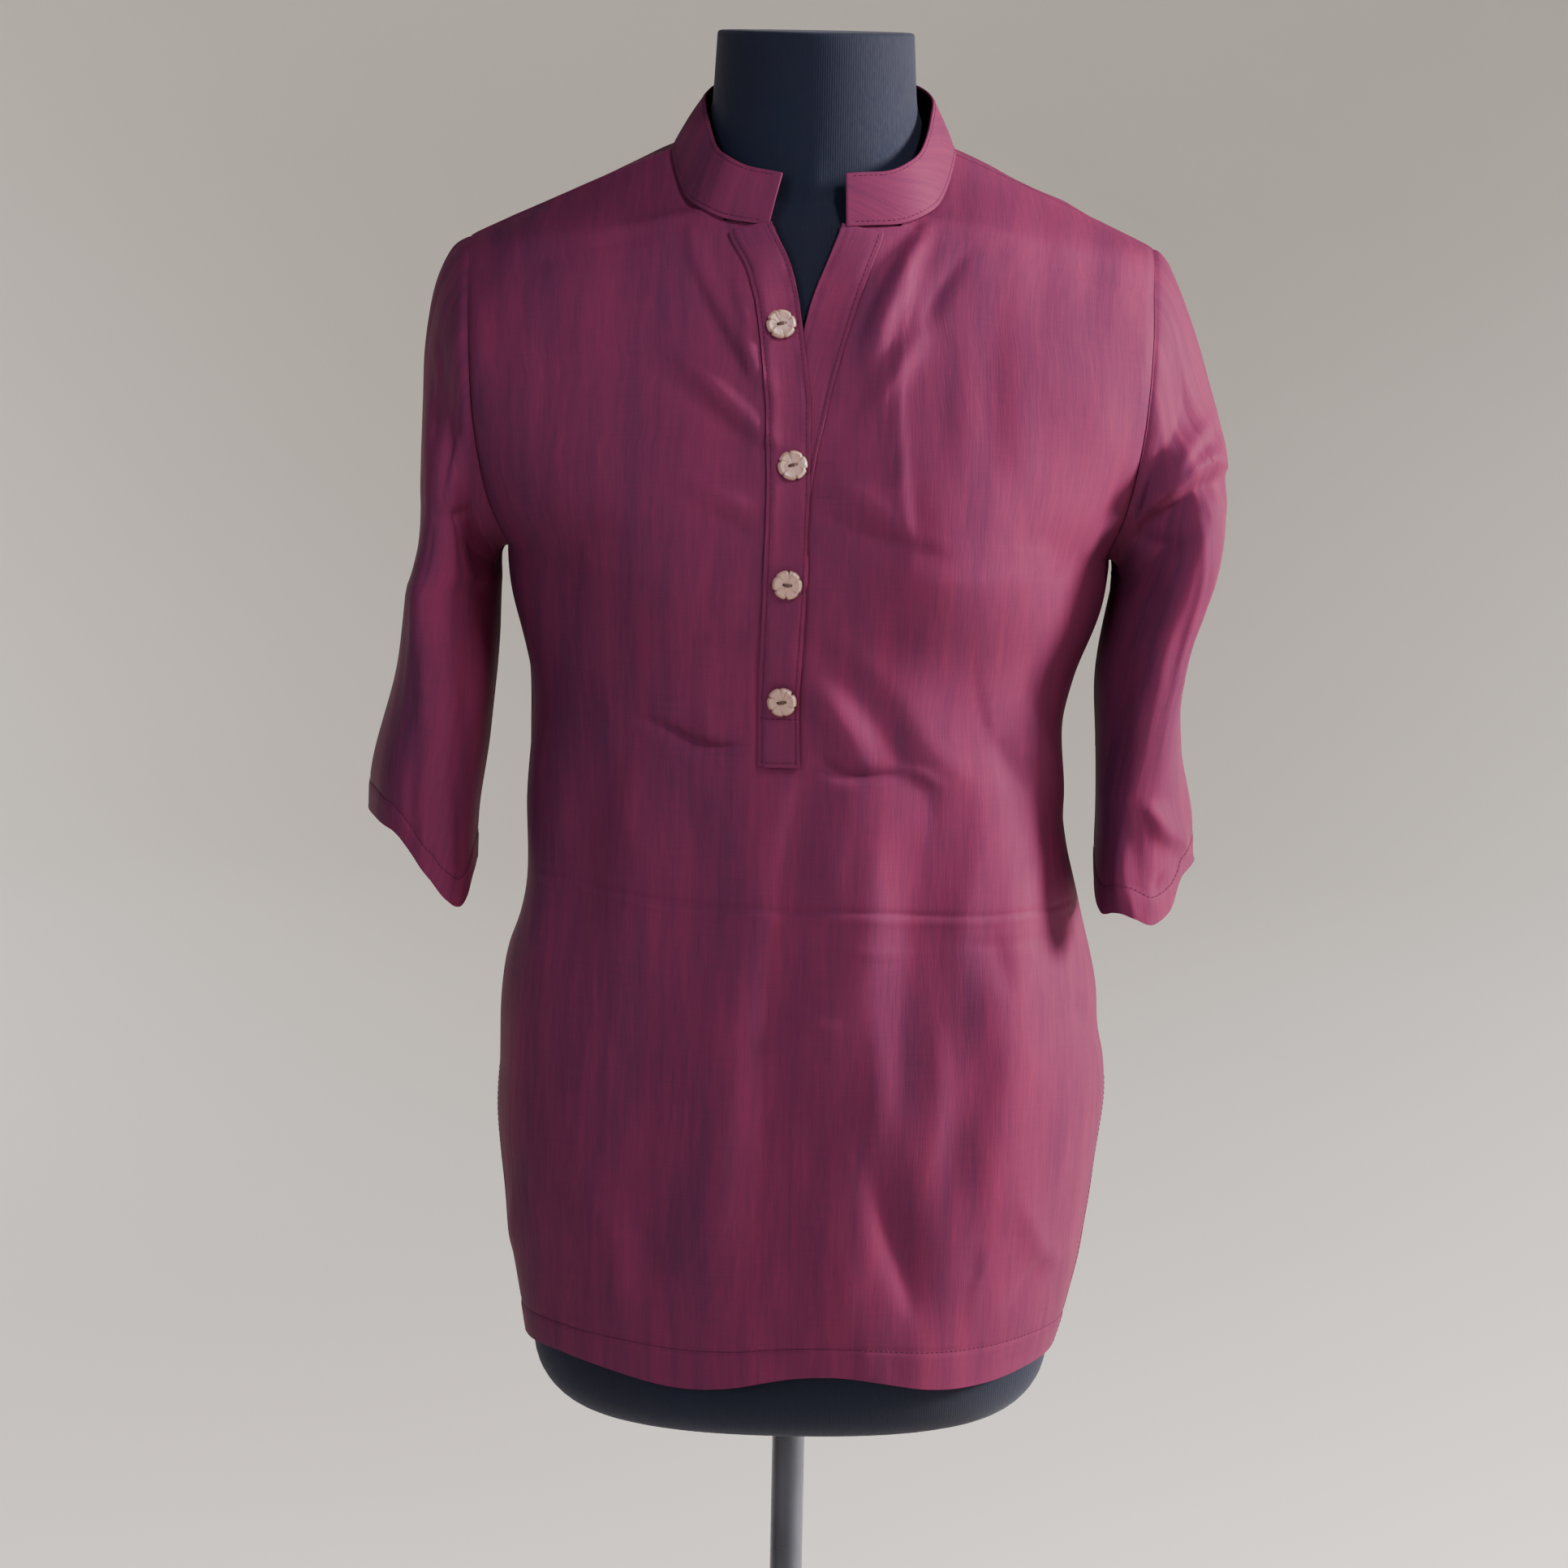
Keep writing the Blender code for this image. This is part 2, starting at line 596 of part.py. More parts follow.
def make_button(name, x, z, stuff, collection):
    """A notched disc with two sewing holes, its flat back just off the upper strip."""
    steps = BUTTON_NOTCHES * 6
    profile = ((0.90, 0.0), (1.0, 0.30), (1.0, 0.62), (0.84, 1.0))
    v = row_of_height(z)
    lift = CLOTH + OVER_LIFT + PLACKET
    reach = 0.95 * BUTTON_RADIUS
    spots = {}
    for i in (-1, 0, 1):
        for j in (-1, 0, 1):
            spots[i, j] = on_panel(FRONT, x + i * reach, row_of_height(z + j * reach), lift)
    across = (spots[1, 0] - spots[-1, 0]).normalized()
    up = spots[0, 1] - spots[0, -1]
    out = across.cross(up).normalized()
    up = out.cross(across)
    seat = max((spot - spots[0, 0]).dot(out) for spot in spots.values())
    centre = spots[0, 0] + out * (seat + 1.5 * GAP)
    work = bmesh.new()
    rings = []
    for share, height in profile:
        ring = []
        for i in range(steps):
            angle = 2 * math.pi * i / steps
            radius = BUTTON_RADIUS - NOTCH_DEPTH * max(0.0, -math.cos(BUTTON_NOTCHES * angle)) ** 3
            spot = centre + across * (radius * share * math.cos(angle))
            spot += up * (radius * share * math.sin(angle)) + out * (BUTTON_THICK * height)
            ring.append(work.verts.new(spot))
        rings.append(ring)
    for low, high in zip(rings, rings[1:]):
        for i in range(steps):
            k = (i + 1) % steps
            work.faces.new((low[i], low[k], high[k], high[i]))
    work.faces.new(rings[0][::-1])
    work.faces.new(rings[-1])
    mesh = bpy.data.meshes.new(name)
    work.to_mesh(mesh)
    work.free()
    mesh.materials.append(stuff)
    made = bpy.data.objects.new(name, mesh)
    collection.objects.link(made)
    for place in (-0.5, 0.5):
        add_hole(made, centre + across * (HOLE_SPACING * place), out)
    mesh.shade_smooth()
    mesh.set_sharp_from_angle(angle=math.radians(40))
    return made


def add_hole(button, spot, out):
    """Cut one sewing hole through a button."""
    work = bmesh.new()
    bmesh.ops.create_cone(work, cap_ends=True, segments=10, radius1=HOLE_RADIUS,
                          radius2=HOLE_RADIUS, depth=4 * BUTTON_THICK)
    mesh = bpy.data.meshes.new("hole")
    work.to_mesh(mesh)
    work.free()
    cutter = bpy.data.objects.new("hole", mesh)
    bpy.data.collections["cutters"].objects.link(cutter)
    cutter.location = spot
    cutter.rotation_mode = "QUATERNION"
    cutter.rotation_quaternion = out.to_track_quat("Z", "Y")
    cutter.hide_render = True
    cutter.display_type = "WIRE"
    cut = button.modifiers.new("hole", "BOOLEAN")
    cut.operation = "DIFFERENCE"
    cut.object = cutter


def form_half(face, side):
    """Grid of a quarter of the form's skin, from the lowest level to the shoulder."""
    rows = spaced(0.0, UNDERARM, 13) + spaced(UNDERARM, NECK_ROW, 6)[1:] + \
        spaced(NECK_ROW, TOP, 5)[1:]
    return [[skin(face, side, u, v) for u in spaced(0.0, 1.0, FORM_COLUMNS)] for v in rows]


def form_bottom(face, side):
    """Grid of a quarter of the form's rounded bottom edge, down to the flat underside."""
    radius = LEVELS[0].z - FORM_BOTTOM
    grid = []
    for angle in spaced(0.0, math.pi / 2, 5):
        row = []
        for u in spaced(0.0, 1.0, FORM_COLUMNS):
            rim = skin(face, side, u, 0.0)
            inward = Vector((rim.x, rim.y, 0.0))
            inward *= -radius * (1 - math.cos(angle)) / inward.length
            row.append(rim + inward - Vector((0, 0, radius * math.sin(angle))))
        grid.append(row)
    return grid


def neck_ring(share):
    """Ring of the neck: share 0 is its base on the shoulders, 1 the flat top."""
    ring = []
    steps = 5
    for face, side, upward in ((FRONT, RIGHT, True), (BACK, RIGHT, False),
                               (BACK, LEFT, True), (FRONT, LEFT, False)):
        order = range(steps) if upward else range(steps, 0, -1)
        for i in order:
            base = skin(face, side, 0.0, NECK_ROW + (TOP - NECK_ROW) * i / steps)
            angle = math.atan2(base.y + NECK_Y, base.x)
            radius = NECK_RADIUS - NECK_TAPER * share
            head = Vector((radius * math.cos(angle),
                           NECK_Y + NECK_OVAL * radius * math.sin(angle), 0))
            keep = (1 - min(1.0, share * 2.2)) ** 2
            point = head.lerp(base, keep)
            point.z = base.z + (NECK_TOP - base.z) * share
            ring.append(point)
    return ring


def make_form(stuff, collection):
    """The limbless form: skin, arm plates, rounded bottom, and a neck with a flat top."""
    points, faces = [], []
    for face in (FRONT, BACK):
        for side in (LEFT, RIGHT):
            for grid, flip in ((form_half(face, side), face * side > 0),
                               (form_bottom(face, side), face * side < 0)):
                faces += grid_faces(len(grid), len(grid[0]), len(points), flip)
                for row in grid:
                    points += row
    shares = (0.0, 0.12, 0.28, 0.5, 0.75, 0.97, 1.0)
    rings = [neck_ring(share) for share in shares]
    middle = Vector((0.0, NECK_Y, NECK_TOP))
    rings[-1] = [middle + (p - middle) * 0.965 for p in rings[-1]]
    faces += grid_faces(len(rings), len(rings[0]), len(points), False, True)
    for ring in rings:
        points += ring
    made = new_object("form", points, faces, stuff, collection)
    work = bmesh.new()
    work.from_mesh(made.data)
    bmesh.ops.remove_doubles(work, verts=work.verts, dist=0.00005)
    loops = [edge for edge in work.edges if edge.is_boundary]
    bmesh.ops.holes_fill(work, edges=loops, sides=0)
    bmesh.ops.triangulate(work, faces=[f for f in work.faces if len(f.verts) > 4])
    bmesh.ops.recalc_face_normals(work, faces=work.faces)
    work.to_mesh(made.data)
    work.free()
    made.data.shade_smooth()
    made.data.set_sharp_from_angle(angle=math.radians(50))
    return made


def make_turned(name, profile, stuff, collection, steps=48):
    """A turned piece from its profile, (radius, height) from the top down to the bottom."""
    mesh = bpy.data.meshes.new(name)
    edges = [(i, i + 1) for i in range(len(profile) - 1)]
    mesh.from_pydata([(radius, 0.0, z) for radius, z in profile], edges, [])
    mesh.materials.append(stuff)
    made = bpy.data.objects.new(name, mesh)
    collection.objects.link(made)
    spin = made.modifiers.new("turn", "SCREW")
    spin.steps = steps
    spin.render_steps = steps
    spin.use_merge_vertices = True
    spin.merge_threshold = 0.00001
    return made


def make_stand(stuff, collection):
    foot = BASE_THICK + GAP
    top = FORM_BOTTOM - GAP
    make_turned("base", ((0.0, BASE_THICK), (BASE_RADIUS - BASE_BEVEL_TOP, BASE_THICK),
                         (BASE_RADIUS, BASE_THICK - BASE_BEVEL_TOP),
                         (BASE_RADIUS, BASE_BEVEL_UNDER),
                         (BASE_RADIUS - BASE_BEVEL_UNDER, 0.0), (0.0, 0.0)), stuff, collection)
    make_turned("pole", ((0.0, top), (POLE_RADIUS, top), (POLE_RADIUS, foot), (0.0, foot)),
                stuff, collection, 32)


def main():
    clear_scene()
    collection = bpy.data.collections.new(NAME)
    cutters = bpy.data.collections.new("cutters")
    bpy.context.scene.collection.children.link(collection)
    bpy.context.scene.collection.children.link(cutters)
    cotton = material("cotton")
    pale_wood = material("button")
    make_form(material("jersey"), collection)
    make_stand(material("steel"), collection)
    make_panel("front", FRONT, cotton, collection)
    make_panel("back", BACK, cotton, collection)
    make_sleeve("sleeve_left", LEFT, cotton, collection)
    make_sleeve("sleeve_right", RIGHT, cotton, collection)
    make_collar(cotton, collection)
    make_strip("placket_under", UNDER_STRIP, UNDER_LIFTS, cotton, collection)
    make_strip("placket_over", OVER_STRIP, OVER_LIFTS, cotton, collection)
    for number, (x, z) in enumerate(BUTTONS, 1):
        make_button(f"button_{number}", x, z, pale_wood, collection)


main()
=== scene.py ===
# %% [markdown]
# # A cotton top on a dress form
# The object is a short cotton top with a stand collar and a buttoned half placket. It hangs on a
# limbless dress form, which stands on a steel pole with a round flat base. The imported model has
# the main shapes as solids. This lesson dresses them: fine cloth with folds, seams, stitches,
# carved buttons and procedural finishes.

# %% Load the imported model
import math
from collections import namedtuple

import bmesh
import bpy
import numpy as np
from mathutils import Matrix, Vector


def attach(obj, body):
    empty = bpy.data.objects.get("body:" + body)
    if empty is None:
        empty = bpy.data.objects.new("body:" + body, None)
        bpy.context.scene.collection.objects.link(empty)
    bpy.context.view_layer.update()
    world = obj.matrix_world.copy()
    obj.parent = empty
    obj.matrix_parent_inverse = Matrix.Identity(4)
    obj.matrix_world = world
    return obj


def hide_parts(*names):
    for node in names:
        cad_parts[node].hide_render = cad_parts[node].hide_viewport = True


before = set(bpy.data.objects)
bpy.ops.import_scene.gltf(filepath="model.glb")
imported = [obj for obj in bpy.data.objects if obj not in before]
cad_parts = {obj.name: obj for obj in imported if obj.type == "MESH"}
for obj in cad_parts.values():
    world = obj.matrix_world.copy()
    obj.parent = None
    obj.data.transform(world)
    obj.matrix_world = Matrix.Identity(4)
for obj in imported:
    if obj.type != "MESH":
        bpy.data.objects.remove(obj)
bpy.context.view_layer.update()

scene = bpy.context.scene

# %% [markdown]
# ## The camera
# The camera stands three metres in front, a little above the neck, and looks down by nine
# degrees with a long lens. It is also turned about its own axis by one degree.

# %% Camera
CAMERA_PLACE = Vector((-0.0099, -3.0, 1.540))
CAMERA_DOWN = math.radians(8.9)
CAMERA_TURN = math.radians(1.11)
ahead = Vector((0, math.cos(CAMERA_DOWN), -math.sin(CAMERA_DOWN)))
level_up = Vector((0, math.sin(CAMERA_DOWN), math.cos(CAMERA_DOWN)))
right = Vector((math.cos(CAMERA_TURN), 0, 0)) + level_up * math.sin(CAMERA_TURN)
up = Vector((-math.sin(CAMERA_TURN), 0, 0)) + level_up * math.cos(CAMERA_TURN)
camera = bpy.data.objects.new("camera", bpy.data.cameras.new("camera"))
camera.data.lens = 121.53
camera.data.sensor_width = 36.0
camera.matrix_world = Matrix.Translation(CAMERA_PLACE) @ \
    Matrix((right, up, -ahead)).transposed().to_4x4()
scene.collection.objects.link(camera)
scene.camera = camera
print("camera at", tuple(CAMERA_PLACE), "lens", camera.data.lens, "mm")

# %% [markdown]
# ## Small helpers for node trees
# A finish is a tree of nodes. These helpers add one node each and wire it up, so that a
# finish reads as a few lines of sums.


# %% Node helpers
def feed(tree, socket, value):
    """Set a socket to a number or colour, or wire another socket to it."""
    if isinstance(value, bpy.types.NodeSocket):
        tree.links.new(value, socket)
    else:
        socket.default_value = value


def settle(node, **numbers):
    """Set inputs of a node by their names, written with _ for a space."""
    for name, value in numbers.items():
        node.inputs[name.replace("_", " ")].default_value = value


def calc(tree, operation, a, b=0.0):
    """One sum with two numbers or sockets."""
    made = tree.nodes.new("ShaderNodeMath")
    made.operation = operation
    feed(tree, made.inputs[0], a)
    feed(tree, made.inputs[1], b)
    return made.outputs[0]


def spread(tree, value, low, high, to_low, to_high):
    """Map a value from one range to another and stop at its ends."""
    made = tree.nodes.new("ShaderNodeMapRange")
    for socket, number in zip(made.inputs, (value, low, high, to_low, to_high)):
        feed(tree, socket, number)
    return made.outputs[0]


def mixed(tree, share, a, b):
    """Two colours mixed, with the share of the second one."""
    made = tree.nodes.new("ShaderNodeMix")
    made.data_type = "RGBA"
    feed(tree, made.inputs[0], share)
    feed(tree, made.inputs[6], a)
    feed(tree, made.inputs[7], b)
    return made.outputs[2]


def cloudy(tree, place, size, detail=2.0, shift=0.0):
    """Noise whose spots have the given size along each axis, in metres."""
    scaled = tree.nodes.new("ShaderNodeVectorMath")
    scaled.operation = "MULTIPLY_ADD"
    feed(tree, scaled.inputs[0], place)
    scaled.inputs[1].default_value = [1.0 / s for s in size]
    scaled.inputs[2].default_value = (shift, shift, shift)
    made = tree.nodes.new("ShaderNodeTexNoise")
    settle(made, Scale=1.0, Detail=detail, Roughness=0.55)
    tree.links.new(scaled.outputs[0], made.inputs["Vector"])
    return made.outputs[0]


def object_place(tree):
    """The place of a point in its object, in metres."""
    return tree.nodes.new("ShaderNodeTexCoord").outputs["Object"]


def new_group(name, inputs, outputs):
    """A node group with named sockets: name, kind and start value."""
    tree = bpy.data.node_groups.new(name, "ShaderNodeTree")
    for label, kind, start in inputs:
        socket = tree.interface.new_socket(label, in_out="INPUT", socket_type=kind)
        if start is not None:
            socket.default_value = start
    for label, kind in outputs:
        tree.interface.new_socket(label, in_out="OUTPUT", socket_type=kind)
    return tree, tree.nodes.new("NodeGroupInput").outputs, tree.nodes.new("NodeGroupOutput").inputs


# %% [markdown]
# ## Shot slub cotton
# The cloth is woven from a dark plum warp and a pink weft. Its colour also carries painted light
# and shade: faces turned to the right, towards the main lamp, are painted pinker, and faces turned
# to the left more plum. Uneven threads, called slubs, make thin upright streaks of all lengths.
# Noise that is stretched along the warp gives the streaks, and two sine waves give the weave.
# It is one node group with both colours as inputs, so that another cloth could use it too.

# %% Weave group
COLOUR, FLOAT, VECTOR = "NodeSocketColor", "NodeSocketFloat", "NodeSocketVector"
THREAD_PITCH = 0.0007


def make_weave():
    """The group of nodes that gives the cloth its colour, roughness and height; the colour holds painted
    light and shade.
    """
    tree, have, give = new_group(
        "slub weave",
        (("Place", VECTOR, None), ("Plum", COLOUR, None), ("Pink", COLOUR, None),
         ("Streaks", FLOAT, 1.0)),
        (("Colour", COLOUR), ("Roughness", FLOAT), ("Height", FLOAT)))
    place = have["Place"]
    thin = cloudy(tree, place, (0.0010, 0.016, 1.0), 1.5)
    middle = cloudy(tree, place, (0.0034, 0.040, 1.0), 2.0, 3.0)
    broad = cloudy(tree, place, (0.012, 0.150, 1.0), 2.0, 7.0)
    patchy = cloudy(tree, place, (0.036, 0.110, 1.0), 1.0, 15.0)
    weft = cloudy(tree, place, (0.030, 0.0010, 1.0), 1.0, 11.0)
    total = calc(tree, "MULTIPLY", thin, 0.26)
    for noise, weight in ((middle, 0.34), (broad, 0.45), (patchy, 0.42), (weft, 0.12)):
        total = calc(tree, "ADD", total, calc(tree, "MULTIPLY", noise, weight))
    slub = spread(tree, total, 0.575, 1.015, -0.5, 0.5)
    slub = calc(tree, "MULTIPLY", slub, have["Streaks"])
    normal = tree.nodes.new("ShaderNodeNewGeometry").outputs["Normal"]
    parts = tree.nodes.new("ShaderNodeSeparateXYZ")
    tree.links.new(normal, parts.inputs[0])
    # Painted light and shade: the share of pink grows on faces turned to the right, where the main lamp
    # stands.
    painted_right_light = spread(tree, parts.outputs["X"], -0.60, 0.80, 0.40, 0.60)
    share = calc(tree, "ADD", painted_right_light, calc(tree, "MULTIPLY", slub, 0.62))
    share = spread(tree, share, 0.0, 1.0, 0.0, 1.0)
    feed(tree, give["Colour"], mixed(tree, share, have["Plum"], have["Pink"]))
    feed(tree, give["Roughness"], spread(tree, slub, -0.5, 0.5, 0.70, 0.56))
    cut = tree.nodes.new("ShaderNodeSeparateXYZ")
    feed(tree, cut.inputs[0], place)
    turns = 2 * math.pi / THREAD_PITCH
    warp = calc(tree, "SINE", calc(tree, "MULTIPLY", cut.outputs["X"], turns))
    weft_wave = calc(tree, "SINE", calc(tree, "MULTIPLY", cut.outputs["Y"], turns))
    woven = calc(tree, "MULTIPLY", calc(tree, "MULTIPLY", warp, weft_wave), 0.20)
    feed(tree, give["Height"], calc(tree, "ADD", woven, calc(tree, "ADD", thin, middle)))
    return tree


weave = make_weave()
print("weave nodes:", len(weave.nodes))


# %% Materials of the cloth and the thread
def new_material(name):
    """A material with its node tree and its main shader."""
    made = bpy.data.materials.new(name)
    made.use_nodes = True
    return made, made.node_tree, made.node_tree.nodes["Principled BSDF"]


def add_bump(tree, shader, height, distance, strength):
    """Let a height tilt the shader's normal."""
    bump = tree.nodes.new("ShaderNodeBump")
    settle(bump, Distance=distance, Strength=strength)
    tree.links.new(height, bump.inputs["Height"])
    tree.links.new(bump.outputs["Normal"], shader.inputs["Normal"])


def make_cotton(name, plum, pink, streaks):
    """The cloth's material: the weave on the piece's own map, with painted shade where it turns edge-on to
    the view.
    """
    made, tree, shader = new_material(name)
    uv = tree.nodes.new("ShaderNodeUVMap")
    uv.uv_map = "weave"
    woven = tree.nodes.new("ShaderNodeGroup")
    woven.node_tree = weave
    tree.links.new(uv.outputs["UV"], woven.inputs["Place"])
    settle(woven, Plum=plum, Pink=pink, Streaks=streaks)
    # Painted shade: the colour darkens where the cloth turns edge-on to the view.
    painted_edge_shade = tree.nodes.new("ShaderNodeLayerWeight")
    settle(painted_edge_shade, Blend=0.5)
    depth = spread(tree, painted_edge_shade.outputs["Facing"], 0.10, 0.75, 1.05, 0.78)
    colour = tree.nodes.new("ShaderNodeVectorMath")
    colour.operation = "SCALE"
    tree.links.new(woven.outputs["Colour"], colour.inputs[0])
    tree.links.new(depth, colour.inputs["Scale"])
    tree.links.new(colour.outputs[0], shader.inputs["Base Color"])
    tree.links.new(woven.outputs["Roughness"], shader.inputs["Roughness"])
    add_bump(tree, shader, woven.outputs["Height"], 0.00025, 0.35)
    settle(shader, Specular_IOR_Level=0.03, Sheen_Weight=0.006, Sheen_Roughness=0.38,
           Sheen_Tint=(1.0, 0.42, 0.66, 1.0))
    return made


cotton = make_cotton("cotton", (0.034, 0.0130, 0.036, 1), (0.148, 0.0190, 0.052, 1), 0.80)

thread, thread_tree, thread_shader = new_material("thread")
ply = cloudy(thread_tree, object_place(thread_tree), (0.0006, 0.0006, 0.0006))
thread_colour = mixed(thread_tree, ply, (0.020, 0.004, 0.013, 1), (0.075, 0.010, 0.028, 1))
thread_tree.links.new(thread_colour, thread_shader.inputs["Base Color"])
settle(thread_shader, Roughness=0.6, Specular_IOR_Level=0.1)
print("materials:", cotton.name, thread.name)

# %% [markdown]
# ## Jersey, pale wood, dark thread and steel
# The form is covered with black navy jersey, whose fine wales run upright. The buttons are
# pale carved wood, sewn on with dark brown thread. The stand is satin steel, brushed round
# the pole.

# %% Materials of the form, the buttons and the stand
jersey, tree, shader = new_material("jersey")
place = object_place(tree)
nap = cloudy(tree, place, (0.0016, 0.0016, 0.004), 3.0)
fade = cloudy(tree, place, (0.09, 0.09, 0.14), 2.0, 5.0)
navy = mixed(tree, nap, (0.0015, 0.0033, 0.0105, 1), (0.0052, 0.0085, 0.0220, 1))
navy = mixed(tree, spread(tree, fade, 0.35, 0.70, 0.0, 0.5), navy, (0.0045, 0.0050, 0.0098, 1))
tree.links.new(navy, shader.inputs["Base Color"])
tree.links.new(spread(tree, nap, 0.3, 0.7, 0.82, 0.95), shader.inputs["Roughness"])
cut = tree.nodes.new("ShaderNodeSeparateXYZ")
feed(tree, cut.inputs[0], place)
wales = calc(tree, "SINE", calc(tree, "MULTIPLY", cut.outputs["X"], 2 * math.pi / 0.0013))
add_bump(tree, shader, calc(tree, "ADD", calc(tree, "MULTIPLY", wales, 0.3), nap), 0.0003, 0.3)
settle(shader, Specular_IOR_Level=0.20, Sheen_Weight=0.02, Sheen_Roughness=0.45,
       Sheen_Tint=(0.75, 0.80, 1.0, 1.0))

pale_wood, tree, shader = new_material("pale_wood")
place = object_place(tree)
grain = cloudy(tree, place, (0.0010, 0.0010, 0.0045), 3.0)
spots = cloudy(tree, place, (0.0028, 0.0028, 0.0028), 2.0, 4.0)
wood = mixed(tree, grain, (0.200, 0.112, 0.082, 1), (0.390, 0.245, 0.195, 1))
wood = mixed(tree, spread(tree, spots, 0.45, 0.75, 0.0, 0.55), wood, (0.260, 0.165, 0.125, 1))
carved = tree.nodes.new("ShaderNodeAttribute")
carved.attribute_name = "carved"
wood = mixed(tree, calc(tree, "MULTIPLY", carved.outputs["Fac"], 0.8), wood, (0.120, 0.070, 0.050, 1))
tree.links.new(wood, shader.inputs["Base Color"])
tree.links.new(spread(tree, grain, 0.3, 0.7, 0.36, 0.55), shader.inputs["Roughness"])
add_bump(tree, shader, grain, 0.0002, 0.35)
settle(shader, Coat_Weight=0.15)

brown, tree, shader = new_material("brown_thread")
place = object_place(tree)
ply = cloudy(tree, place, (0.0004, 0.0004, 0.0004))
tree.links.new(mixed(tree, ply, (0.020, 0.008, 0.006, 1), (0.070, 0.028, 0.020, 1)),
               shader.inputs["Base Color"])
settle(shader, Roughness=0.7)

steel, tree, shader = new_material("satin_steel")
place = object_place(tree)
rings = cloudy(tree, place, (0.02, 0.02, 0.0009), 2.0)
smudge = cloudy(tree, place, (0.05, 0.05, 0.05), 3.0, 2.0)
tree.links.new(mixed(tree, smudge, (0.045, 0.050, 0.062, 1), (0.080, 0.088, 0.108, 1)),
               shader.inputs["Base Color"])
settle(shader, Metallic=0.9)
rough = calc(tree, "ADD", spread(tree, rings, 0.3, 0.7, 0.26, 0.36),
             spread(tree, smudge, 0.4, 0.8, 0.0, 0.12))
tree.links.new(rough, shader.inputs["Roughness"])
add_bump(tree, shader, rings, 0.0001, 0.2)
print("materials:", jersey.name, pale_wood.name, brown.name, steel.name)

# %% [markdown]
# ## The shape of the form
# The form's skin is a set of rows. Each row is an arc from the centre line or the neck to the
# side seam or the armhole, and smooth curves run through the rows. The tables below repeat
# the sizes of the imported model, so that the fine cloth lies where its solids lie.

# %% Sizes of the form and the air under the cloth
CLOTH, PLACKET, BAND, GAP, LEAST_AIR = 0.0012, 0.0010, 0.0016, 0.0003, 0.0004
FRONT, BACK = -1, 1
LEFT, RIGHT = -1, 1
SEAM_Y = 0.004

Level = namedtuple("Level", "z side front back air_left air_right air_front air_back")
LEVELS = (
    Level(0.745, 0.1495, 0.100, 0.112, 0.0023, 0.0023, 0.0060, 0.0040),
    Level(0.800, 0.1565, 0.105, 0.122, 0.0043, 0.0103, 0.0070, 0.0040),
    Level(0.870, 0.1630, 0.109, 0.127, 0.0073, 0.0103, 0.0060, 0.0035),
    Level(0.910, 0.1615, 0.109, 0.124, 0.0063, 0.0123, 0.0050, 0.0040),
    Level(0.960, 0.1550, 0.107, 0.114, 0.0078, 0.0108, 0.0060, 0.0080),
    Level(1.010, 0.1450, 0.102, 0.102, 0.0066, 0.0090, 0.0090, 0.0130),
    Level(1.060, 0.1360, 0.098, 0.093, 0.0170, 0.0080, 0.0120, 0.0160),
    Level(1.100, 0.1350, 0.099, 0.090, 0.0186, 0.0085, 0.0110, 0.0150),
    Level(1.140, 0.1420, 0.106, 0.091, 0.0138, 0.0108, 0.0060, 0.0100),
    Level(1.180, 0.1550, 0.116, 0.094, 0.0103, 0.0118, 0.0025, 0.0060),
    Level(1.205, 0.1600, 0.119, 0.097, 0.0082, 0.0105, 0.0020, 0.0040),
)
Row = namedtuple("Row", "in_x in_y in_z out_x out_y out_z turn air_in air_left air_right")
FRONT_YOKE = (
    Row(0.000, -0.1185, 1.226, 0.1605, -0.024, 1.2160, 79, 0.0018, 0.0095, 0.0120),
    Row(0.000, -0.1170, 1.250, 0.1680, -0.045, 1.2430, 71, 0.0016, 0.0130, 0.0135),
    Row(0.000, -0.1050, 1.305, 0.1780, -0.052, 1.2850, 63, 0.0012, 0.0125, 0.0130),
    Row(0.000, -0.0880, 1.355, 0.1860, -0.045, 1.3240, 55, 0.0009, 0.0070, 0.0080),
    Row(0.000, -0.0680, 1.403, 0.1900, -0.028, 1.3540, 45, 0.0014, 0.0030, 0.0030),
    Row(0.052, -0.0480, 1.404, 0.1915, -0.010, 1.3710, 36, 0.0013, 0.0014, 0.0014),
    Row(0.070, 0.0060, 1.433, 0.1920, 0.010, 1.3785, 28, 0.0006, 0.0006, 0.0006),
)
BACK_YOKE = (
    Row(0.000, 0.1005, 1.226, 0.1600, 0.024, 1.2160, 81, 0.0030, 0.0095, 0.0120),
    Row(0.000, 0.1040, 1.250, 0.1670, 0.051, 1.2430, 68, 0.0020, 0.0130, 0.0135),
    Row(0.000, 0.1070, 1.312, 0.1760, 0.064, 1.2850, 59, 0.0014, 0.0115, 0.0120),
    Row(0.000, 0.0990, 1.375, 0.1835, 0.060, 1.3240, 51, 0.0024, 0.0060, 0.0070),
    Row(0.000, 0.0700, 1.444, 0.1890, 0.044, 1.3540, 42, 0.0022, 0.0030, 0.0030),
    Row(0.048, 0.0540, 1.443, 0.1915, 0.026, 1.3710, 34, 0.0014, 0.0014, 0.0014),
    Row(0.070, 0.0060, 1.433, 0.1920, 0.010, 1.3785, 28, 0.0006, 0.0006, 0.0006),
)
UNDERARM = len(LEVELS) - 1
TOP = UNDERARM + len(FRONT_YOKE)
NECK_ROW = TOP - 2

Mound = namedtuple("Mound", "face x z wide tall rise")
MOUNDS = (
    Mound(FRONT, 0.078, 1.212, 0.050, 0.052, 0.0110),
    Mound(BACK, 0.075, 1.300, 0.060, 0.070, 0.0050),
    Mound(BACK, 0.070, 0.875, 0.060, 0.060, 0.0060),
)


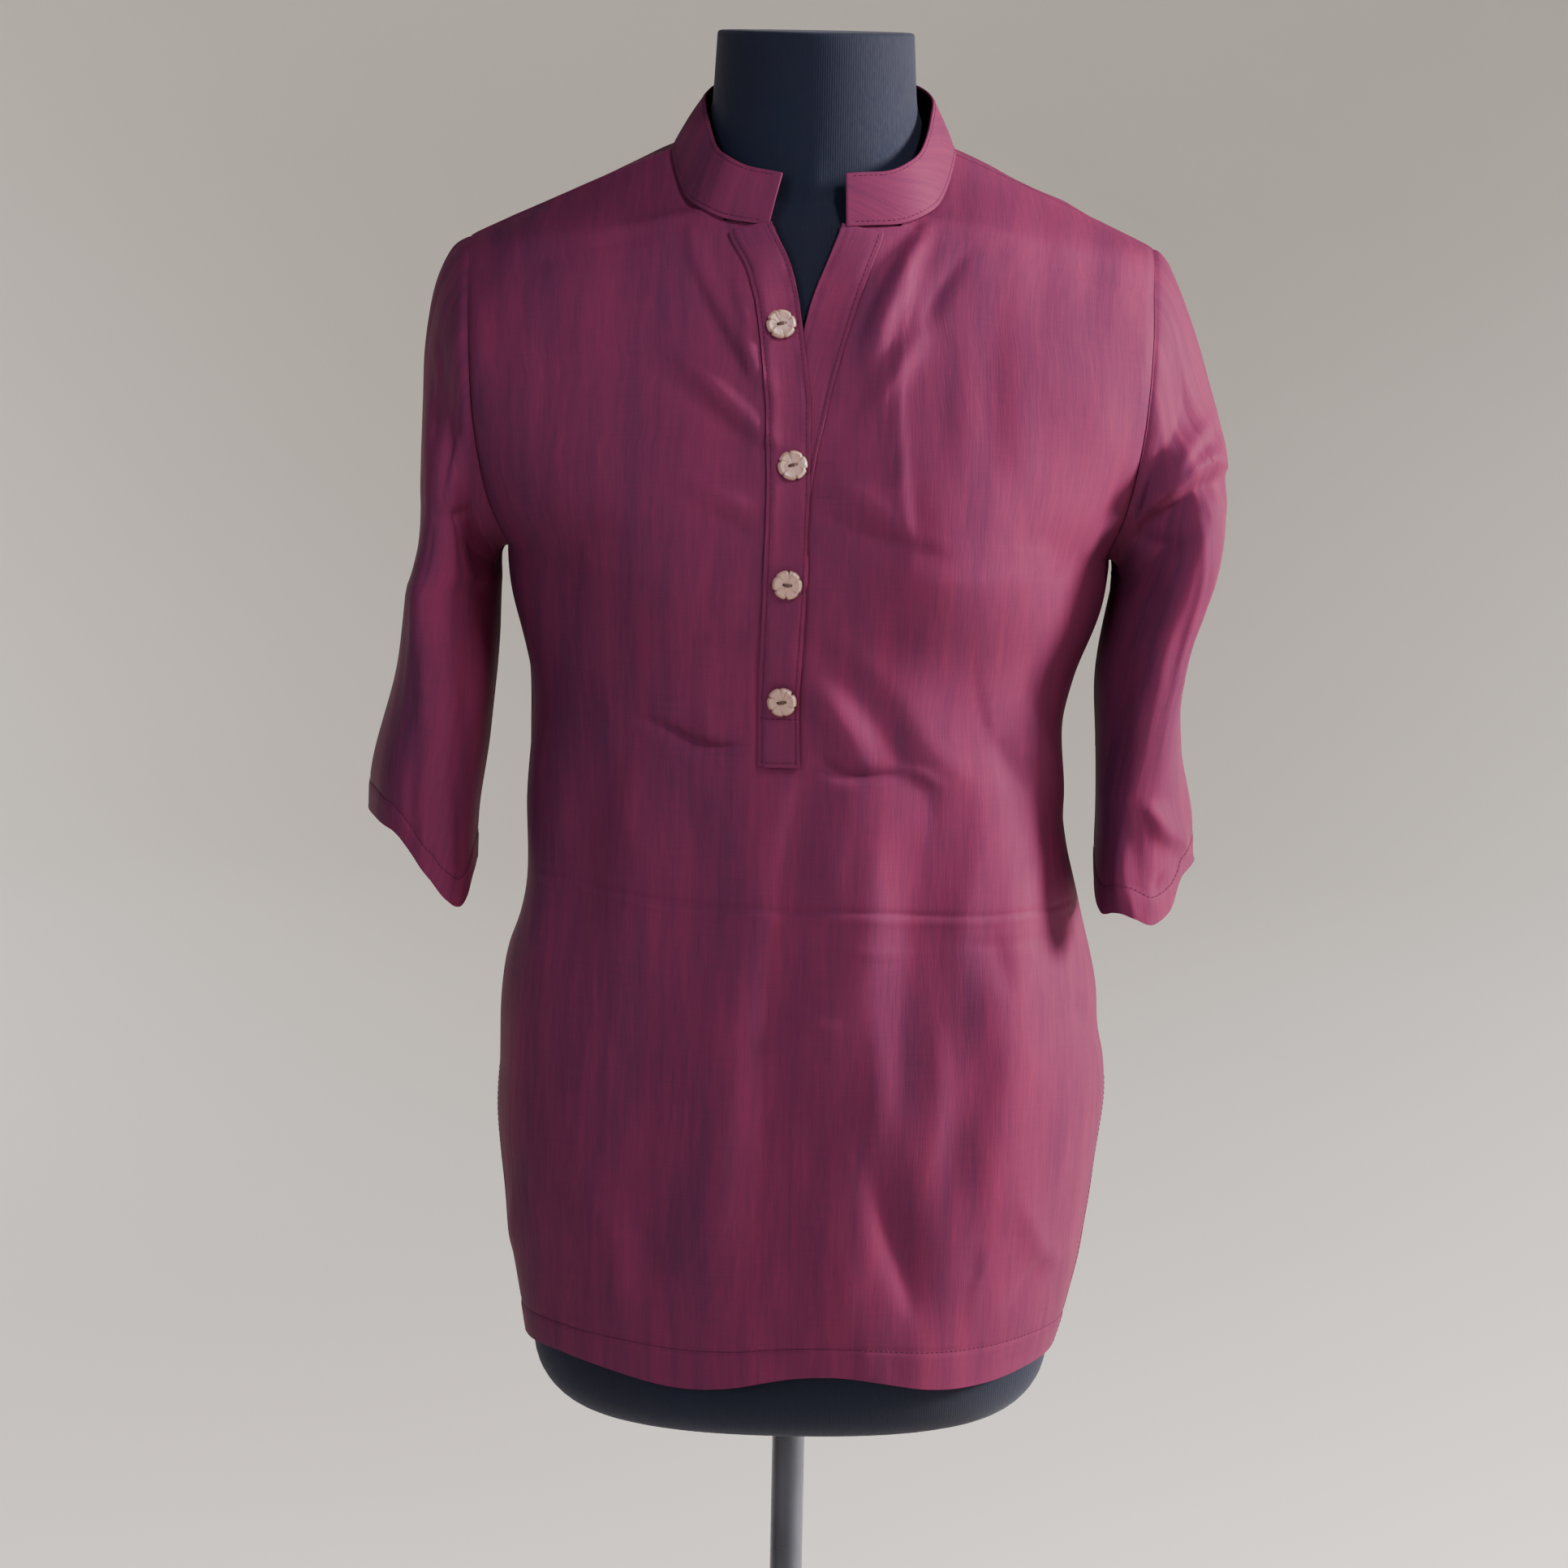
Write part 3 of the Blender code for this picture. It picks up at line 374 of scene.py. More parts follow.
# %% Rows and skin, worked out for many points at once
def rows_of(face):
    """The rows of one face as a table: the levels of the body, then the yoke."""
    rows = []
    for level in LEVELS:
        depth, air = (level.front, level.air_front) if face == FRONT else (level.back, level.air_back)
        rows.append((0.0, face * depth, level.z, level.side, SEAM_Y, level.z, 90, air,
                     level.air_left, level.air_right))
    rows.extend(FRONT_YOKE if face == FRONT else BACK_YOKE)
    return np.array(rows, float)


ROWS = {FRONT: rows_of(FRONT), BACK: rows_of(BACK)}


def blend(table, place):
    """Values of a table at places counted in rows, on smooth curves through the rows."""
    place = np.atleast_1d(np.asarray(place, float))
    last = len(table) - 1
    start = np.clip(np.floor(place).astype(int), 0, last - 1)
    t = (place - start)[..., None]
    before, here = table[np.maximum(start - 1, 0)], table[start]
    there, after = table[start + 1], table[np.minimum(start + 2, last)]
    slope_here, slope_there, rise = (there - before) / 2, (after - here) / 2, there - here
    return here + slope_here * t + (3 * rise - 2 * slope_here - slope_there) * t ** 2 \
        + (slope_here + slope_there - 2 * rise) * t ** 3


def row_at(face, v):
    """The sizes of the rows at places v, with a soft start of the yoke above the underarm."""
    v = np.atleast_1d(np.asarray(v, float))
    row = blend(ROWS[face], v)
    below = v <= UNDERARM
    near = (v > UNDERARM) & (v < UNDERARM + 1)
    t = v - UNDERARM
    eased = blend(ROWS[face], np.where(near, UNDERARM + t * t * (2 - t), v))
    row[..., 4] = np.where(below, SEAM_Y, np.where(near, eased[..., 4], row[..., 4]))
    row[..., 6] = np.where(below, 90.0, np.where(near, eased[..., 6], row[..., 6]))
    row[..., 0] = np.where(v > NECK_ROW, np.maximum(row[..., 0], 0.0), 0.0)
    return Row(*np.moveaxis(row, -1, 0))


def skin_of(face, side, u, v):
    """Points of one face of the form, at u along the arcs of rows v."""
    row = row_at(face, v)
    turn = np.radians(row.turn)
    across = np.sin(u * turn) / np.sin(turn)
    along = (1 - np.cos(u * turn)) / (1 - np.cos(turn))
    x = row.in_x + (row.out_x - row.in_x) * across
    y = row.in_y + (row.out_y - row.in_y) * along
    z = row.in_z + (row.out_z - row.in_z) * u
    for mound in MOUNDS:
        if mound.face == face:
            reach = ((x - mound.x) / mound.wide) ** 2 + ((z - mound.z) / mound.tall) ** 2
            y = y + face * mound.rise * np.exp(-reach)
    return np.stack((side * x, y, z), -1)


def skin(face, side, u, v):
    """Points of the form: u runs from the centre or neck (0) to the side or armhole (1)."""
    side, u, v = np.broadcast_arrays(*np.atleast_1d(side, u, v))
    point = skin_of(face, side, u, np.minimum(v, TOP))
    over = v > TOP
    if over.any():
        point[over] = skin_of(-face, side[over], u[over], 2 * TOP - v[over])
    return point


def unit(vectors):
    """The same directions with a length of one."""
    return vectors / np.maximum(np.linalg.norm(vectors, axis=-1, keepdims=True), 1e-12)


def outward(face, side, u, v):
    """The way out of the form at points of its skin."""
    step = 0.03
    across = skin(face, side, u + step, v) - skin(face, side, u - step, v)
    rising = skin(face, side, u, v + step) - skin(face, side, u, v - step)
    facing = np.atleast_1d(-face * np.asarray(side))[..., None]
    return unit(np.cross(across, rising) * facing)


# %% [markdown]
# ## Folds and creases
# Cloth folds where it is pulled or pushed: from the collar to the buttons, under the bust,
# at the waist, and where a sleeve bends. Each crease is placed as a line over the cloth,
# seen from the front or the back. It has a width on either side and a rise, which is
# below zero for a trough. Unequal widths make a fold that leans to one side. A line follows
# the slope that catches the eye: the lit slope of a ridge or the shaded one of a trough, or
# the other one where slope is -1. With slope 0 the line is the crest or the bottom itself.

# %% Main folds, as in the solids
Fold = namedtuple("Fold", "face x1 z1 x2 z2 wide rise")
FOLDS = (
    Fold(FRONT, -0.122, 1.100, -0.154, 0.880, 0.016, 0.0035),
    Fold(FRONT, -0.100, 1.120, -0.124, 0.960, 0.016, -0.0035),
    Fold(FRONT, -0.020, 1.090, -0.056, 0.800, 0.022, 0.0024),
    Fold(FRONT, 0.004, 1.080, -0.028, 0.800, 0.014, -0.0020),
    Fold(FRONT, 0.000, 1.150, 0.034, 1.105, 0.013, 0.0035),
    Fold(FRONT, 0.108, 1.140, 0.128, 1.050, 0.014, 0.0040),
    Fold(FRONT, 0.044, 0.880, 0.070, 0.780, 0.014, -0.0035),
    Fold(FRONT, -0.106, 0.850, -0.092, 0.780, 0.014, 0.0040),
    Fold(BACK, -0.050, 1.180, -0.060, 0.900, 0.020, 0.0060),
    Fold(BACK, 0.045, 1.170, 0.062, 0.880, 0.020, 0.0050),
    Fold(BACK, -0.004, 1.120, 0.004, 0.850, 0.018, -0.0060),
    Fold(BACK, 0.105, 1.150, 0.118, 0.980, 0.016, 0.0050),
    Fold(BACK, -0.108, 1.150, -0.120, 0.960, 0.016, 0.0045),
)


print("main folds:", len(FOLDS))


def fold_rise(face, x, z):
    """Rise of the cloth by the main folds of one face."""
    total = np.zeros_like(x)
    for fold in FOLDS:
        if fold.face == face:
            run_x, run_z = fold.x2 - fold.x1, fold.z2 - fold.z1
            share = ((x - fold.x1) * run_x + (z - fold.z1) * run_z) / (run_x ** 2 + run_z ** 2)
            share = np.clip(share, 0.0, 1.0)
            away = np.hypot(x - fold.x1 - run_x * share, z - fold.z1 - run_z * share) / fold.wide
            fade = np.sin(np.pi * (0.08 + 0.84 * share))
            total += fold.rise * fade * np.exp(-away ** 2)
    return total


# %% [markdown]
# The finer creases exist in the dressed model alone. All their numbers are in millimetres:
# the rise, the widths on the left and right of the line, and the line's places (x, z).

# %% Creases of the front and the back
Crease = namedtuple("Crease", "face rise left right places slope", defaults=(1,))
CREASES = (
    # From the collar to the second button, on the left
    Crease(FRONT, 4.4, 4.5, 6.3, ((-70, 1385), (-64.6, 1369.3), (-50, 1342.4), (-38.9, 1323.2),
                                  (-25, 1303)), -1),
    Crease(FRONT, -2.6, 5.4, 4.5, ((-64.6, 1369.3), (-50, 1342.4), (-38.9, 1323.2), (-26, 1301))),
    Crease(FRONT, 3.9, 5.4, 3.6, ((-40, 1364), (-33, 1345), (-30.2, 1330), (-27.5, 1308))),
    Crease(FRONT, 4.7, 6.3, 4.5, ((-76, 1326), (-55.1, 1312), (-38, 1296), (-20, 1280))),
    Crease(FRONT, -3.1, 5.4, 4.5, ((-85, 1315), (-58.3, 1296.7), (-34.9, 1279.2), (-17, 1272))),
    Crease(FRONT, 2.3, 5.4, 5.4, ((-70, 1260), (-45, 1248), (-26, 1242))),
    Crease(FRONT, -2.3, 4.5, 5.4, ((-55, 1240), (-38, 1233), (-25, 1225))),
    # From the collar to the placket, on the right
    Crease(FRONT, 4.9, 5.4, 5.4, ((61, 1392), (52.2, 1378), (40, 1357), (30, 1333)), -1),
    Crease(FRONT, -3.1, 4.5, 5.4, ((58, 1392), (48, 1376), (37, 1356), (27, 1330))),
    Crease(FRONT, 3.9, 5.4, 5.4, ((56, 1364), (45, 1345), (37, 1325), (33, 1308))),
    Crease(FRONT, 3.9, 5.4, 5.4, ((58, 1350), (53, 1330), (43, 1312), (33, 1299)), -1),
    Crease(FRONT, -2.6, 5.4, 5.4, ((84, 1374.9), (74, 1360), (66, 1345.3), (58, 1329.2))),
    Crease(FRONT, -2.9, 5.4, 4.5, ((34, 1318), (29, 1300), (18, 1283.3))),
    Crease(FRONT, 3.0, 2.5, 5, ((52.2, 1390.8), (51.5, 1342.2), (48.8, 1318.8), (50.3, 1283.7),
                                (54.4, 1247.4), (60, 1215))),
    Crease(FRONT, -2.4, 3, 2.5, ((50, 1386), (49.2, 1342.2), (46.5, 1318.8), (48, 1283.7),
                                 (52, 1247.4))),
    Crease(FRONT, 2.9, 7.2, 5.4, ((12, 1255), (33, 1248), (56, 1233))),
    Crease(FRONT, -2.9, 5.4, 6.3, ((8, 1242), (26, 1233), (48, 1225), (70, 1220))),
    # Below the third button
    Crease(FRONT, 3.2, 13, 9, ((2.1, 1161.4), (18.1, 1142.3), (32, 1121.4), (40, 1100.4))),
    Crease(FRONT, 4.2, 18, 14, ((4.1, 1173.9), (25, 1153), (40.7, 1131.7), (56, 1104.9),
                                (73.6, 1083.7), (79.3, 1057.6), (77.2, 1026.3), (74, 990)), -1),
    Crease(FRONT, -2.2, 9, 9, ((4.1, 1173.9), (25, 1153), (40.7, 1131.7), (56, 1104.9),
                               (70, 1083.7), (74, 1057.6))),
    Crease(FRONT, -4.2, 5, 3, ((9, 1108), (15, 1100), (24.1, 1094.5), (34.5, 1093.6), (48, 1095))),
    Crease(FRONT, 1.6, 3, 4, ((48, 1099), (62, 1096), (72, 1088))),
    Crease(FRONT, -4.6, 3, 5, ((-78, 1124), (-66.2, 1119), (-56.7, 1113), (-43.1, 1109.5),
                               (-33, 1111))),
    Crease(FRONT, 2.6, 5, 4, ((-48.5, 1134), (-47, 1124), (-46.3, 1113))),
    Crease(FRONT, 1.8, 7, 7, ((-78, 1102), (-83, 1070), (-80, 1040))),
    Crease(FRONT, -2.0, 9, 9, ((-52, 1090), (-50, 1050), (-56, 1020))),
    # The long fold down the middle, and the shade on its right
    Crease(FRONT, 2.2, 18, 14, ((-4.7, 1097.4), (-13.4, 1059.5), (-18, 1013.1), (-24, 966.3),
                                (-28, 944.3), (-30, 889.2), (-34, 840.3), (-40, 796.8))),
    Crease(FRONT, -2.6, 12, 4, ((4, 1090), (-1, 1059.5), (-4, 1013.1), (-7, 966.3), (-9, 920),
                                (-12, 870), (-17, 815))),
    Crease(FRONT, 2.4, 12, 12, ((33, 1060), (30, 1000), (33, 940)), -1),
    Crease(FRONT, 1.8, 3, 4, ((-6, 964), (5, 956), (22, 952))),
    Crease(FRONT, 1.6, 10, 9, ((48, 960), (50, 920), (46, 870))),
    Crease(FRONT, -1.8, 10, 9, ((-75, 970), (-78, 920), (-70, 870))),
    # The belly's full right half, and the trough beside it
    Crease(FRONT, 7.5, 54, 18, ((96, 1110), (104, 1040), (109, 970), (107, 900), (100, 830)), 0),
    Crease(FRONT, -3.2, 22, 24, ((56, 1060), (58, 980), (56, 900)), 0),
    # Hips
    Crease(FRONT, 3.2, 10, 7, ((-121.3, 1109.1), (-125.4, 1061.5), (-133.4, 1018.7),
                               (-141, 988.1), (-153, 962.5), (-158.9, 924.9), (-162.9, 882.5))),
    Crease(FRONT, 1.6, 4, 3, ((-137.4, 1094.7), (-138.8, 1058.8), (-147.5, 1026),
                              (-153.8, 1014.2))),
    Crease(FRONT, -1.8, 5, 6, ((104, 998.5), (111.2, 966.3))),
    Crease(FRONT, -2.4, 6, 6, ((144.7, 954.9), (156, 940), (163.3, 923.2))),
    Crease(FRONT, 3.2, 8, 8, ((118.8, 1132.5), (127.9, 1104.6), (140.3, 1061.8))),
    Crease(FRONT, -2.4, 7, 6, ((101.2, 1114.3), (115.4, 1080.1))),
    # Under the bust
    Crease(FRONT, 5.0, 20, 20, ((42, 1213), (85, 1205), (128, 1213)), 0),
    Crease(FRONT, 4.0, 20, 20, ((-128, 1213), (-85, 1205), (-45, 1213)), 0),
    # Above the hem
    Crease(FRONT, 3.0, 8, 6, ((-100.3, 843.3), (-88.9, 828.4), (-86, 814.3), (-91.3, 791.5))),
    Crease(FRONT, -2.6, 6, 8, ((-78, 835), (-72, 815), (-74, 790))),
    Crease(FRONT, 1.8, 5, 5, ((-148.5, 844.1), (-150.5, 816), (-155.3, 794.7))),
    Crease(FRONT, -2.6, 6, 5, ((46, 868.6), (53.5, 840.1), (60.9, 818.5), (68.5, 789.6))),
    Crease(FRONT, 1.6, 5, 6, ((78.8, 950.5), (79.5, 902.3), (77.4, 874.4))),
    Crease(FRONT, 2.4, 6, 6, ((124, 848.8), (137.9, 814.3), (149.9, 808.1))),
    Crease(FRONT, -2.2, 6, 5, ((137.9, 814.3), (128, 799), (117.5, 784.3))),
    # Where the top was folded flat
    Crease(FRONT, -1.3, 2.2, 2.2, ((-135, 1022.5), (-82, 1017.9), (-58.7, 1016.4), (-23.9, 1016),
                                   (26.6, 1014.7), (64.7, 1012), (97.4, 1009.5), (137.1, 1008.8)), 0),
    Crease(FRONT, 1.2, 2.4, 3.5, ((-135, 1019.5), (-82, 1014.9), (-58.7, 1013.4), (-23.9, 1013),
                                  (26.6, 1011.7), (64.7, 1009), (97.4, 1006.5), (137.1, 1005.8)), 0),
    Crease(FRONT, 1.2, 2.5, 2.5, ((6, 997), (14.4, 994.7), (39.8, 991.4), (60, 991)), 0),
    Crease(FRONT, -0.9, 2.5, 2.5, ((78, 996), (100, 993), (130, 994)), 0),
    # Under the right arm
    Crease(FRONT, -3.0, 7, 8, ((167.4, 1258.7), (163.2, 1236.6), (157.5, 1209.6))),
    # The back: between the shoulder blades, at the waist and above the hem
    Crease(BACK, -2.4, 8, 7, ((10, 1390), (6, 1330), (12, 1260))),
    Crease(BACK, 2.0, 8, 8, ((-45, 1380), (-38, 1310), (-25, 1240))),
    Crease(BACK, -2.2, 6, 8, ((90, 1330), (82, 1270), (60, 1210))),
    Crease(BACK, 2.6, 9, 7, ((-108, 1250), (-90, 1200), (-65, 1155))),
    Crease(BACK, 3.0, 8, 10, ((122, 1210), (100, 1160), (70, 1125))),
    Crease(BACK, -3.0, 6, 6, ((-85, 1125), (-50, 1108), (-15, 1112))),
    Crease(BACK, -2.6, 6, 7, ((20, 1095), (55, 1085), (85, 1098))),
    Crease(BACK, 3.2, 9, 8, ((-30, 1100), (-33, 1020), (-40, 930), (-38, 830))),
    Crease(BACK, -2.6, 9, 9, ((30, 1060), (35, 980), (30, 890))),
    Crease(BACK, 2.4, 8, 6, ((85, 940), (95, 860), (90, 790))),
    Crease(BACK, -2.2, 6, 8, ((-90, 900), (-95, 850), (-87, 795))),
    Crease(BACK, 0.7, 2.5, 2.5, ((-130, 1018), (-50, 1016), (40, 1012), (130, 1010))),
)
SLEEVE_CREASES = {
    LEFT: (
        Crease(FRONT, -4.2, 9, 8, ((-205.3, 1332.7), (-200.3, 1305.7), (-197.7, 1282.1),
                                   (-190.6, 1258.3), (-183.1, 1234.6))),
        Crease(FRONT, -2.4, 4, 3, ((-211.7, 1314.5), (-210.9, 1296.4), (-209.6, 1281.9),
                                   (-207, 1266.9))),
        Crease(FRONT, -3.2, 4, 7, ((-209, 1225), (-197.6, 1227.9), (-187.7, 1229.9))),
        Crease(FRONT, 2.0, 4, 4, ((-212.9, 1199.3), (-211.7, 1175.9), (-210.1, 1146.6),
                                  (-208.9, 1117.4), (-207.5, 1090))),
        Crease(FRONT, 1.8, 4, 4, ((-210.2, 1090), (-209.3, 1052.2), (-209.1, 1028.3),
                                  (-208.8, 1005))),
        Crease(FRONT, -3.2, 8, 8, ((-186, 1240), (-183.1, 1234.6), (-180.9, 1205.8),
                                   (-178.7, 1169.1), (-180.2, 1132.3))),
        Crease(FRONT, -1.6, 7, 6, ((-220, 1180), (-222.5, 1120), (-226, 1070))),
        Crease(BACK, -3.0, 7, 8, ((-202, 1320), (-200, 1270), (-190, 1230))),
        Crease(BACK, 2.6, 8, 7, ((-215, 1220), (-208, 1150), (-212, 1080))),
        Crease(BACK, -2.4, 6, 7, ((-220, 1190), (-200, 1180), (-185, 1182))),
    ),
    RIGHT: (
        Crease(FRONT, -5.0, 9, 8, ((212.5, 1330.6), (215.5, 1305.3), (211.6, 1287.8),
                                   (202.7, 1272.6), (193.8, 1258.4), (188, 1245))),
        Crease(FRONT, 1.8, 3, 3, ((229, 1288.5), (216.5, 1275.2), (207, 1263))),
        Crease(FRONT, -2.0, 4, 4, ((230, 1279), (218, 1269), (210, 1259))),
        Crease(FRONT, 8.5, 3.5, 14, ((238, 1262), (227.3, 1264.3), (219.2, 1260.1),
                                     (210.3, 1252.9), (200.1, 1244.6), (191, 1236.3),
                                     (184.2, 1229.1))),
        Crease(FRONT, -7.0, 10, 6, ((232, 1254), (220, 1251), (210.3, 1243), (200.1, 1234.5),
                                    (191, 1226.3), (184.2, 1220))),
        Crease(FRONT, -3.6, 6, 6, ((184.8, 1225.7), (194.1, 1220.4), (204.3, 1219.7), (217, 1225))),
        Crease(FRONT, 5.0, 9, 11, ((231, 1233.5), (221, 1204.9), (215.5, 1184.2), (208, 1165.2),
                                   (204.2, 1139.8), (200.1, 1120.5), (196.1, 1098.1),
                                   (192, 1074.1))),
        Crease(FRONT, 4.5, 7, 4, ((190.6, 1067.7), (196.2, 1069.3), (203.3, 1064.7),
                                  (208.4, 1056.9), (216.5, 1050.5), (222.6, 1040.7))),
        Crease(FRONT, 5.0, 4, 9, ((184.9, 1056), (187.9, 1027.6), (192.9, 1007))),
        Crease(FRONT, -1.8, 3, 3, ((206, 1031.2), (203, 1025), (200.1, 1019.7))),
        Crease(BACK, -3.6, 8, 8, ((210, 1320), (208, 1280), (195, 1240))),
        Crease(BACK, 3.2, 5, 10, ((230, 1250), (210, 1242), (190, 1238))),
        Crease(BACK, -3.2, 6, 6, ((225, 1232), (205, 1226), (190, 1225))),
        Crease(BACK, 2.4, 8, 8, ((215, 1190), (195, 1120), (198, 1050))),
    ),
}

print("creases:", len(CREASES) + sum(len(few) for few in SLEEVE_CREASES.values()))


# %% Crease profile
def smooth_line(places, count=4):
    """More points on a smooth curve through the given ones."""
    table = np.array(places, float)
    if len(table) < 3:
        return table
    return blend(table, np.linspace(0, len(table) - 1, (len(table) - 1) * count + 1))


LIGHT_FROM = np.array((0.92, 0.38))


def crest_line(crease):
    """The crest or the bottom of a crease, which lies beside the slope that catches the eye."""
    line = smooth_line(np.array(crease.places) / 1000)
    run = np.gradient(line, axis=0)
    across = unit(np.stack((-run[:, 1], run[:, 0]), -1))
    toward = across * (across @ LIGHT_FROM)[:, None]
    return line - toward * crease.slope * 0.0007 * (crease.left + crease.right) / 2


def crease_rise(creases, face, x, z):
    """Rise of the cloth by all creases of one face, at points seen from the front."""
    total = np.zeros_like(x)
    for crease in creases:
        if crease.face != face:
            continue
        line = crest_line(crease)
        reach = 0.0028 * max(crease.left, crease.right)
        close = (x > line[:, 0].min() - reach) & (x < line[:, 0].max() + reach) & \
            (z > line[:, 1].min() - reach) & (z < line[:, 1].max() + reach)
        if not close.any():
            continue
        px, pz = x[close], z[close]
        nearest, along = np.full(px.shape, 1e9), np.zeros(px.shape)
        beside, length = np.zeros(px.shape), 0.0
        for (ax, az), (bx, bz) in zip(line[:-1], line[1:]):
            run_x, run_z = bx - ax, bz - az
            size = math.hypot(run_x, run_z)
            share = np.clip(((px - ax) * run_x + (pz - az) * run_z) / size ** 2, 0, 1)
            dx, dz = px - ax - run_x * share, pz - az - run_z * share
            away = np.hypot(dx, dz)
            closer = away < nearest
            nearest = np.where(closer, away, nearest)
            along = np.where(closer, length + share * size, along)
            beside = np.where(closer, np.sign(run_x * dz - run_z * dx), beside)
            length += size
        share = along / length
        wide = np.where(beside > 0, crease.left, crease.right) * 0.001
        wide = wide * (0.72 + 0.42 * np.sin(np.pi * share))
        fade = np.sin(np.pi * (0.05 + 0.90 * share)) ** 0.8
        total[close] += 0.001 * crease.rise * fade * np.exp(-(nearest / wide) ** 1.55)
    return total


NOISE_CELLS = 64


def soft_noise(a, b, cell_a, cell_b, seed):
    """Smooth uneven bumps between -1 and 1, of about one cell each."""
    table = np.random.default_rng(seed).uniform(-1, 1, (NOISE_CELLS, NOISE_CELLS))
    a, b = a / cell_a + 500.0, b / cell_b + 500.0
    i, j = np.floor(a).astype(int), np.floor(b).astype(int)
    s, t = a - i, b - j
    s, t = s * s * (3 - 2 * s), t * t * (3 - 2 * t)

    def corner(p, q):
        return table[(i + p) % NOISE_CELLS, (j + q) % NOISE_CELLS]
    low = corner(0, 0) * (1 - s) + corner(1, 0) * s
    high = corner(0, 1) * (1 - s) + corner(1, 1) * s
    return low * (1 - t) + high * t


def ripple(a, b, seed):
    """The small unevenness of worn, washed cotton."""
    return 0.0013 * soft_noise(a, b, 0.030, 0.100, seed) + \
        0.0006 * soft_noise(a, b, 0.014, 0.040, seed + 1) + \
        0.0012 * soft_noise(a, b, 0.055, 0.050, seed + 2)


# %% [markdown]
# ## The cloth over the form
# A point of the cloth is a point of the form's skin, moved out by the air between the two,
# and then by its folds. The air never falls below a set least value, so the cloth rests on
# the form and doesn't cut into it.

# %% Cloth
Wave = namedtuple("Wave", "height length shift")
HEM_WAVES = {FRONT: Wave(0.0050, 0.155, -0.020), BACK: Wave(0.0040, 0.170, 0.030)}
HEM_FADE = 1.2
HEM_TURN = 0.020
EASE = {FRONT: 0.0028, BACK: 0.0014}
SHOULDER_FADE = 0.45
TURN_THICK = 0.0005
TURN_STEP = 0.0015
GROOVE_DEPTH = 0.0007
GROOVE_WIDTH = 0.0014
SEAM_DIP = 0.0009
SEAM_DIP_WIDTH = 0.0030


def hem_wave(face, x):
    """Rise of the hem's edge at places x."""
    wave = HEM_WAVES[face]
    return wave.height * np.sin(2 * np.pi * (x - wave.shift) / wave.length)


def turned_edge(from_edge, turn):
    """Rise of the cloth over a turned edge, with a groove where it is sewn down."""
    rise = TURN_THICK * (1 - np.clip((from_edge - turn) / TURN_STEP, 0, 1))
    return rise - GROOVE_DEPTH * np.exp(-((from_edge - turn) / GROOVE_WIDTH) ** 2)


def soft_floor(value, least, blend_over=0.0006):
    """The value, eased so that it never falls below the least one."""
    over = (value - least) / blend_over
    return least + blend_over * np.logaddexp(0.0, over)


def cloth(face, side, u, v, lift=0.0, fine=True):
    """Points of the cloth's inner wall, or above it by lift."""
    side, u, v = np.broadcast_arrays(*np.atleast_1d(side, u, v))
    row = row_at(face, np.minimum(v, TOP))
    point = skin(face, side, u, v)
    turn = np.radians(row.turn)
    share = (np.sin(np.clip(u, 0, 1) * turn) / np.sin(turn)) ** 2
    air_side = np.where(side == LEFT, row.air_left, row.air_right)
    air = row.air_in + (air_side - row.air_in) * share
    x, z = point[..., 0], point[..., 2]
    air = air + fold_rise(face, x, z)
    if fine:
        seam = np.exp(-((1 - u) * row.out_x / SEAM_DIP_WIDTH) ** 2)
        shoulder = 1 - np.exp(-((TOP - v) / SHOULDER_FADE) ** 2)
        free = crease_rise(CREASES, face, x, z) + ripple(x, z, 5 + face)
        free = free + EASE[face] * np.sin(np.pi * np.clip(u, 0, 1))
        air = air + free * (1 - seam) * shoulder - SEAM_DIP * seam
        air = air + turned_edge(z - LEVELS[0].z, HEM_TURN)
        air = soft_floor(air, LEAST_AIR)
    air = np.maximum(air, LEAST_AIR)
    point = point + outward(face, side, u, v) * (air + lift)[..., None]
    wave = hem_wave(face, point[..., 0]) * np.clip(1 - v / HEM_FADE, 0, 1) ** 2
    point[..., 2] += np.where(v < HEM_FADE, wave, 0.0)
    return point


def side_and_place(face, x, v):
    """Side and u of the cloth at signed distances x from the centre plane, in rows v."""
    x, v = np.broadcast_arrays(*np.atleast_1d(x, v))
    side = np.where(x >= 0, RIGHT, LEFT)
    low, high = np.zeros(x.shape), np.ones(x.shape)
    for _ in range(18):
        middle = (low + high) / 2
        short = cloth(face, side, middle, v, fine=False)[..., 0] * side < np.abs(x)
        low, high = np.where(short, middle, low), np.where(short, high, middle)
    return side, (low + high) / 2


def on_front(x, v, lift):
    """Points over the front at signed distances x from the centre plane, in rows v."""
    side, u = side_and_place(FRONT, x, v)
    return cloth(FRONT, side, u, v, lift)


# %% [markdown]
# ## Making a sheet
# A piece of cloth is a grid of points, joined where its halves meet, and given a wall by the
# Solidify modifier. Every sheet carries a map in metres, with the warp upright, for the
# weave to follow. Edges that lie on top get a small bevel, as a folded edge is round.


# %% Sheet helpers
SAME_PLACE = 0.00005


def lengths(grid, axis):
    """Running length along one axis of a grid of points, from its first line."""
    step = np.linalg.norm(np.diff(grid, axis=axis), axis=-1)
    pad = [(0, 0), (0, 0)]
    pad[axis] = (1, 0)
    return np.pad(np.cumsum(step, axis=axis), pad)


def weave_map(grid, side=1.0, start=0.0):
    """Map of a grid in metres: across along its rows, up along its columns."""
    across = side * lengths(grid, 1) + start
    rise = lengths(grid, 0).mean(axis=1, keepdims=True) + 0 * across
    return np.stack((across, rise), -1)


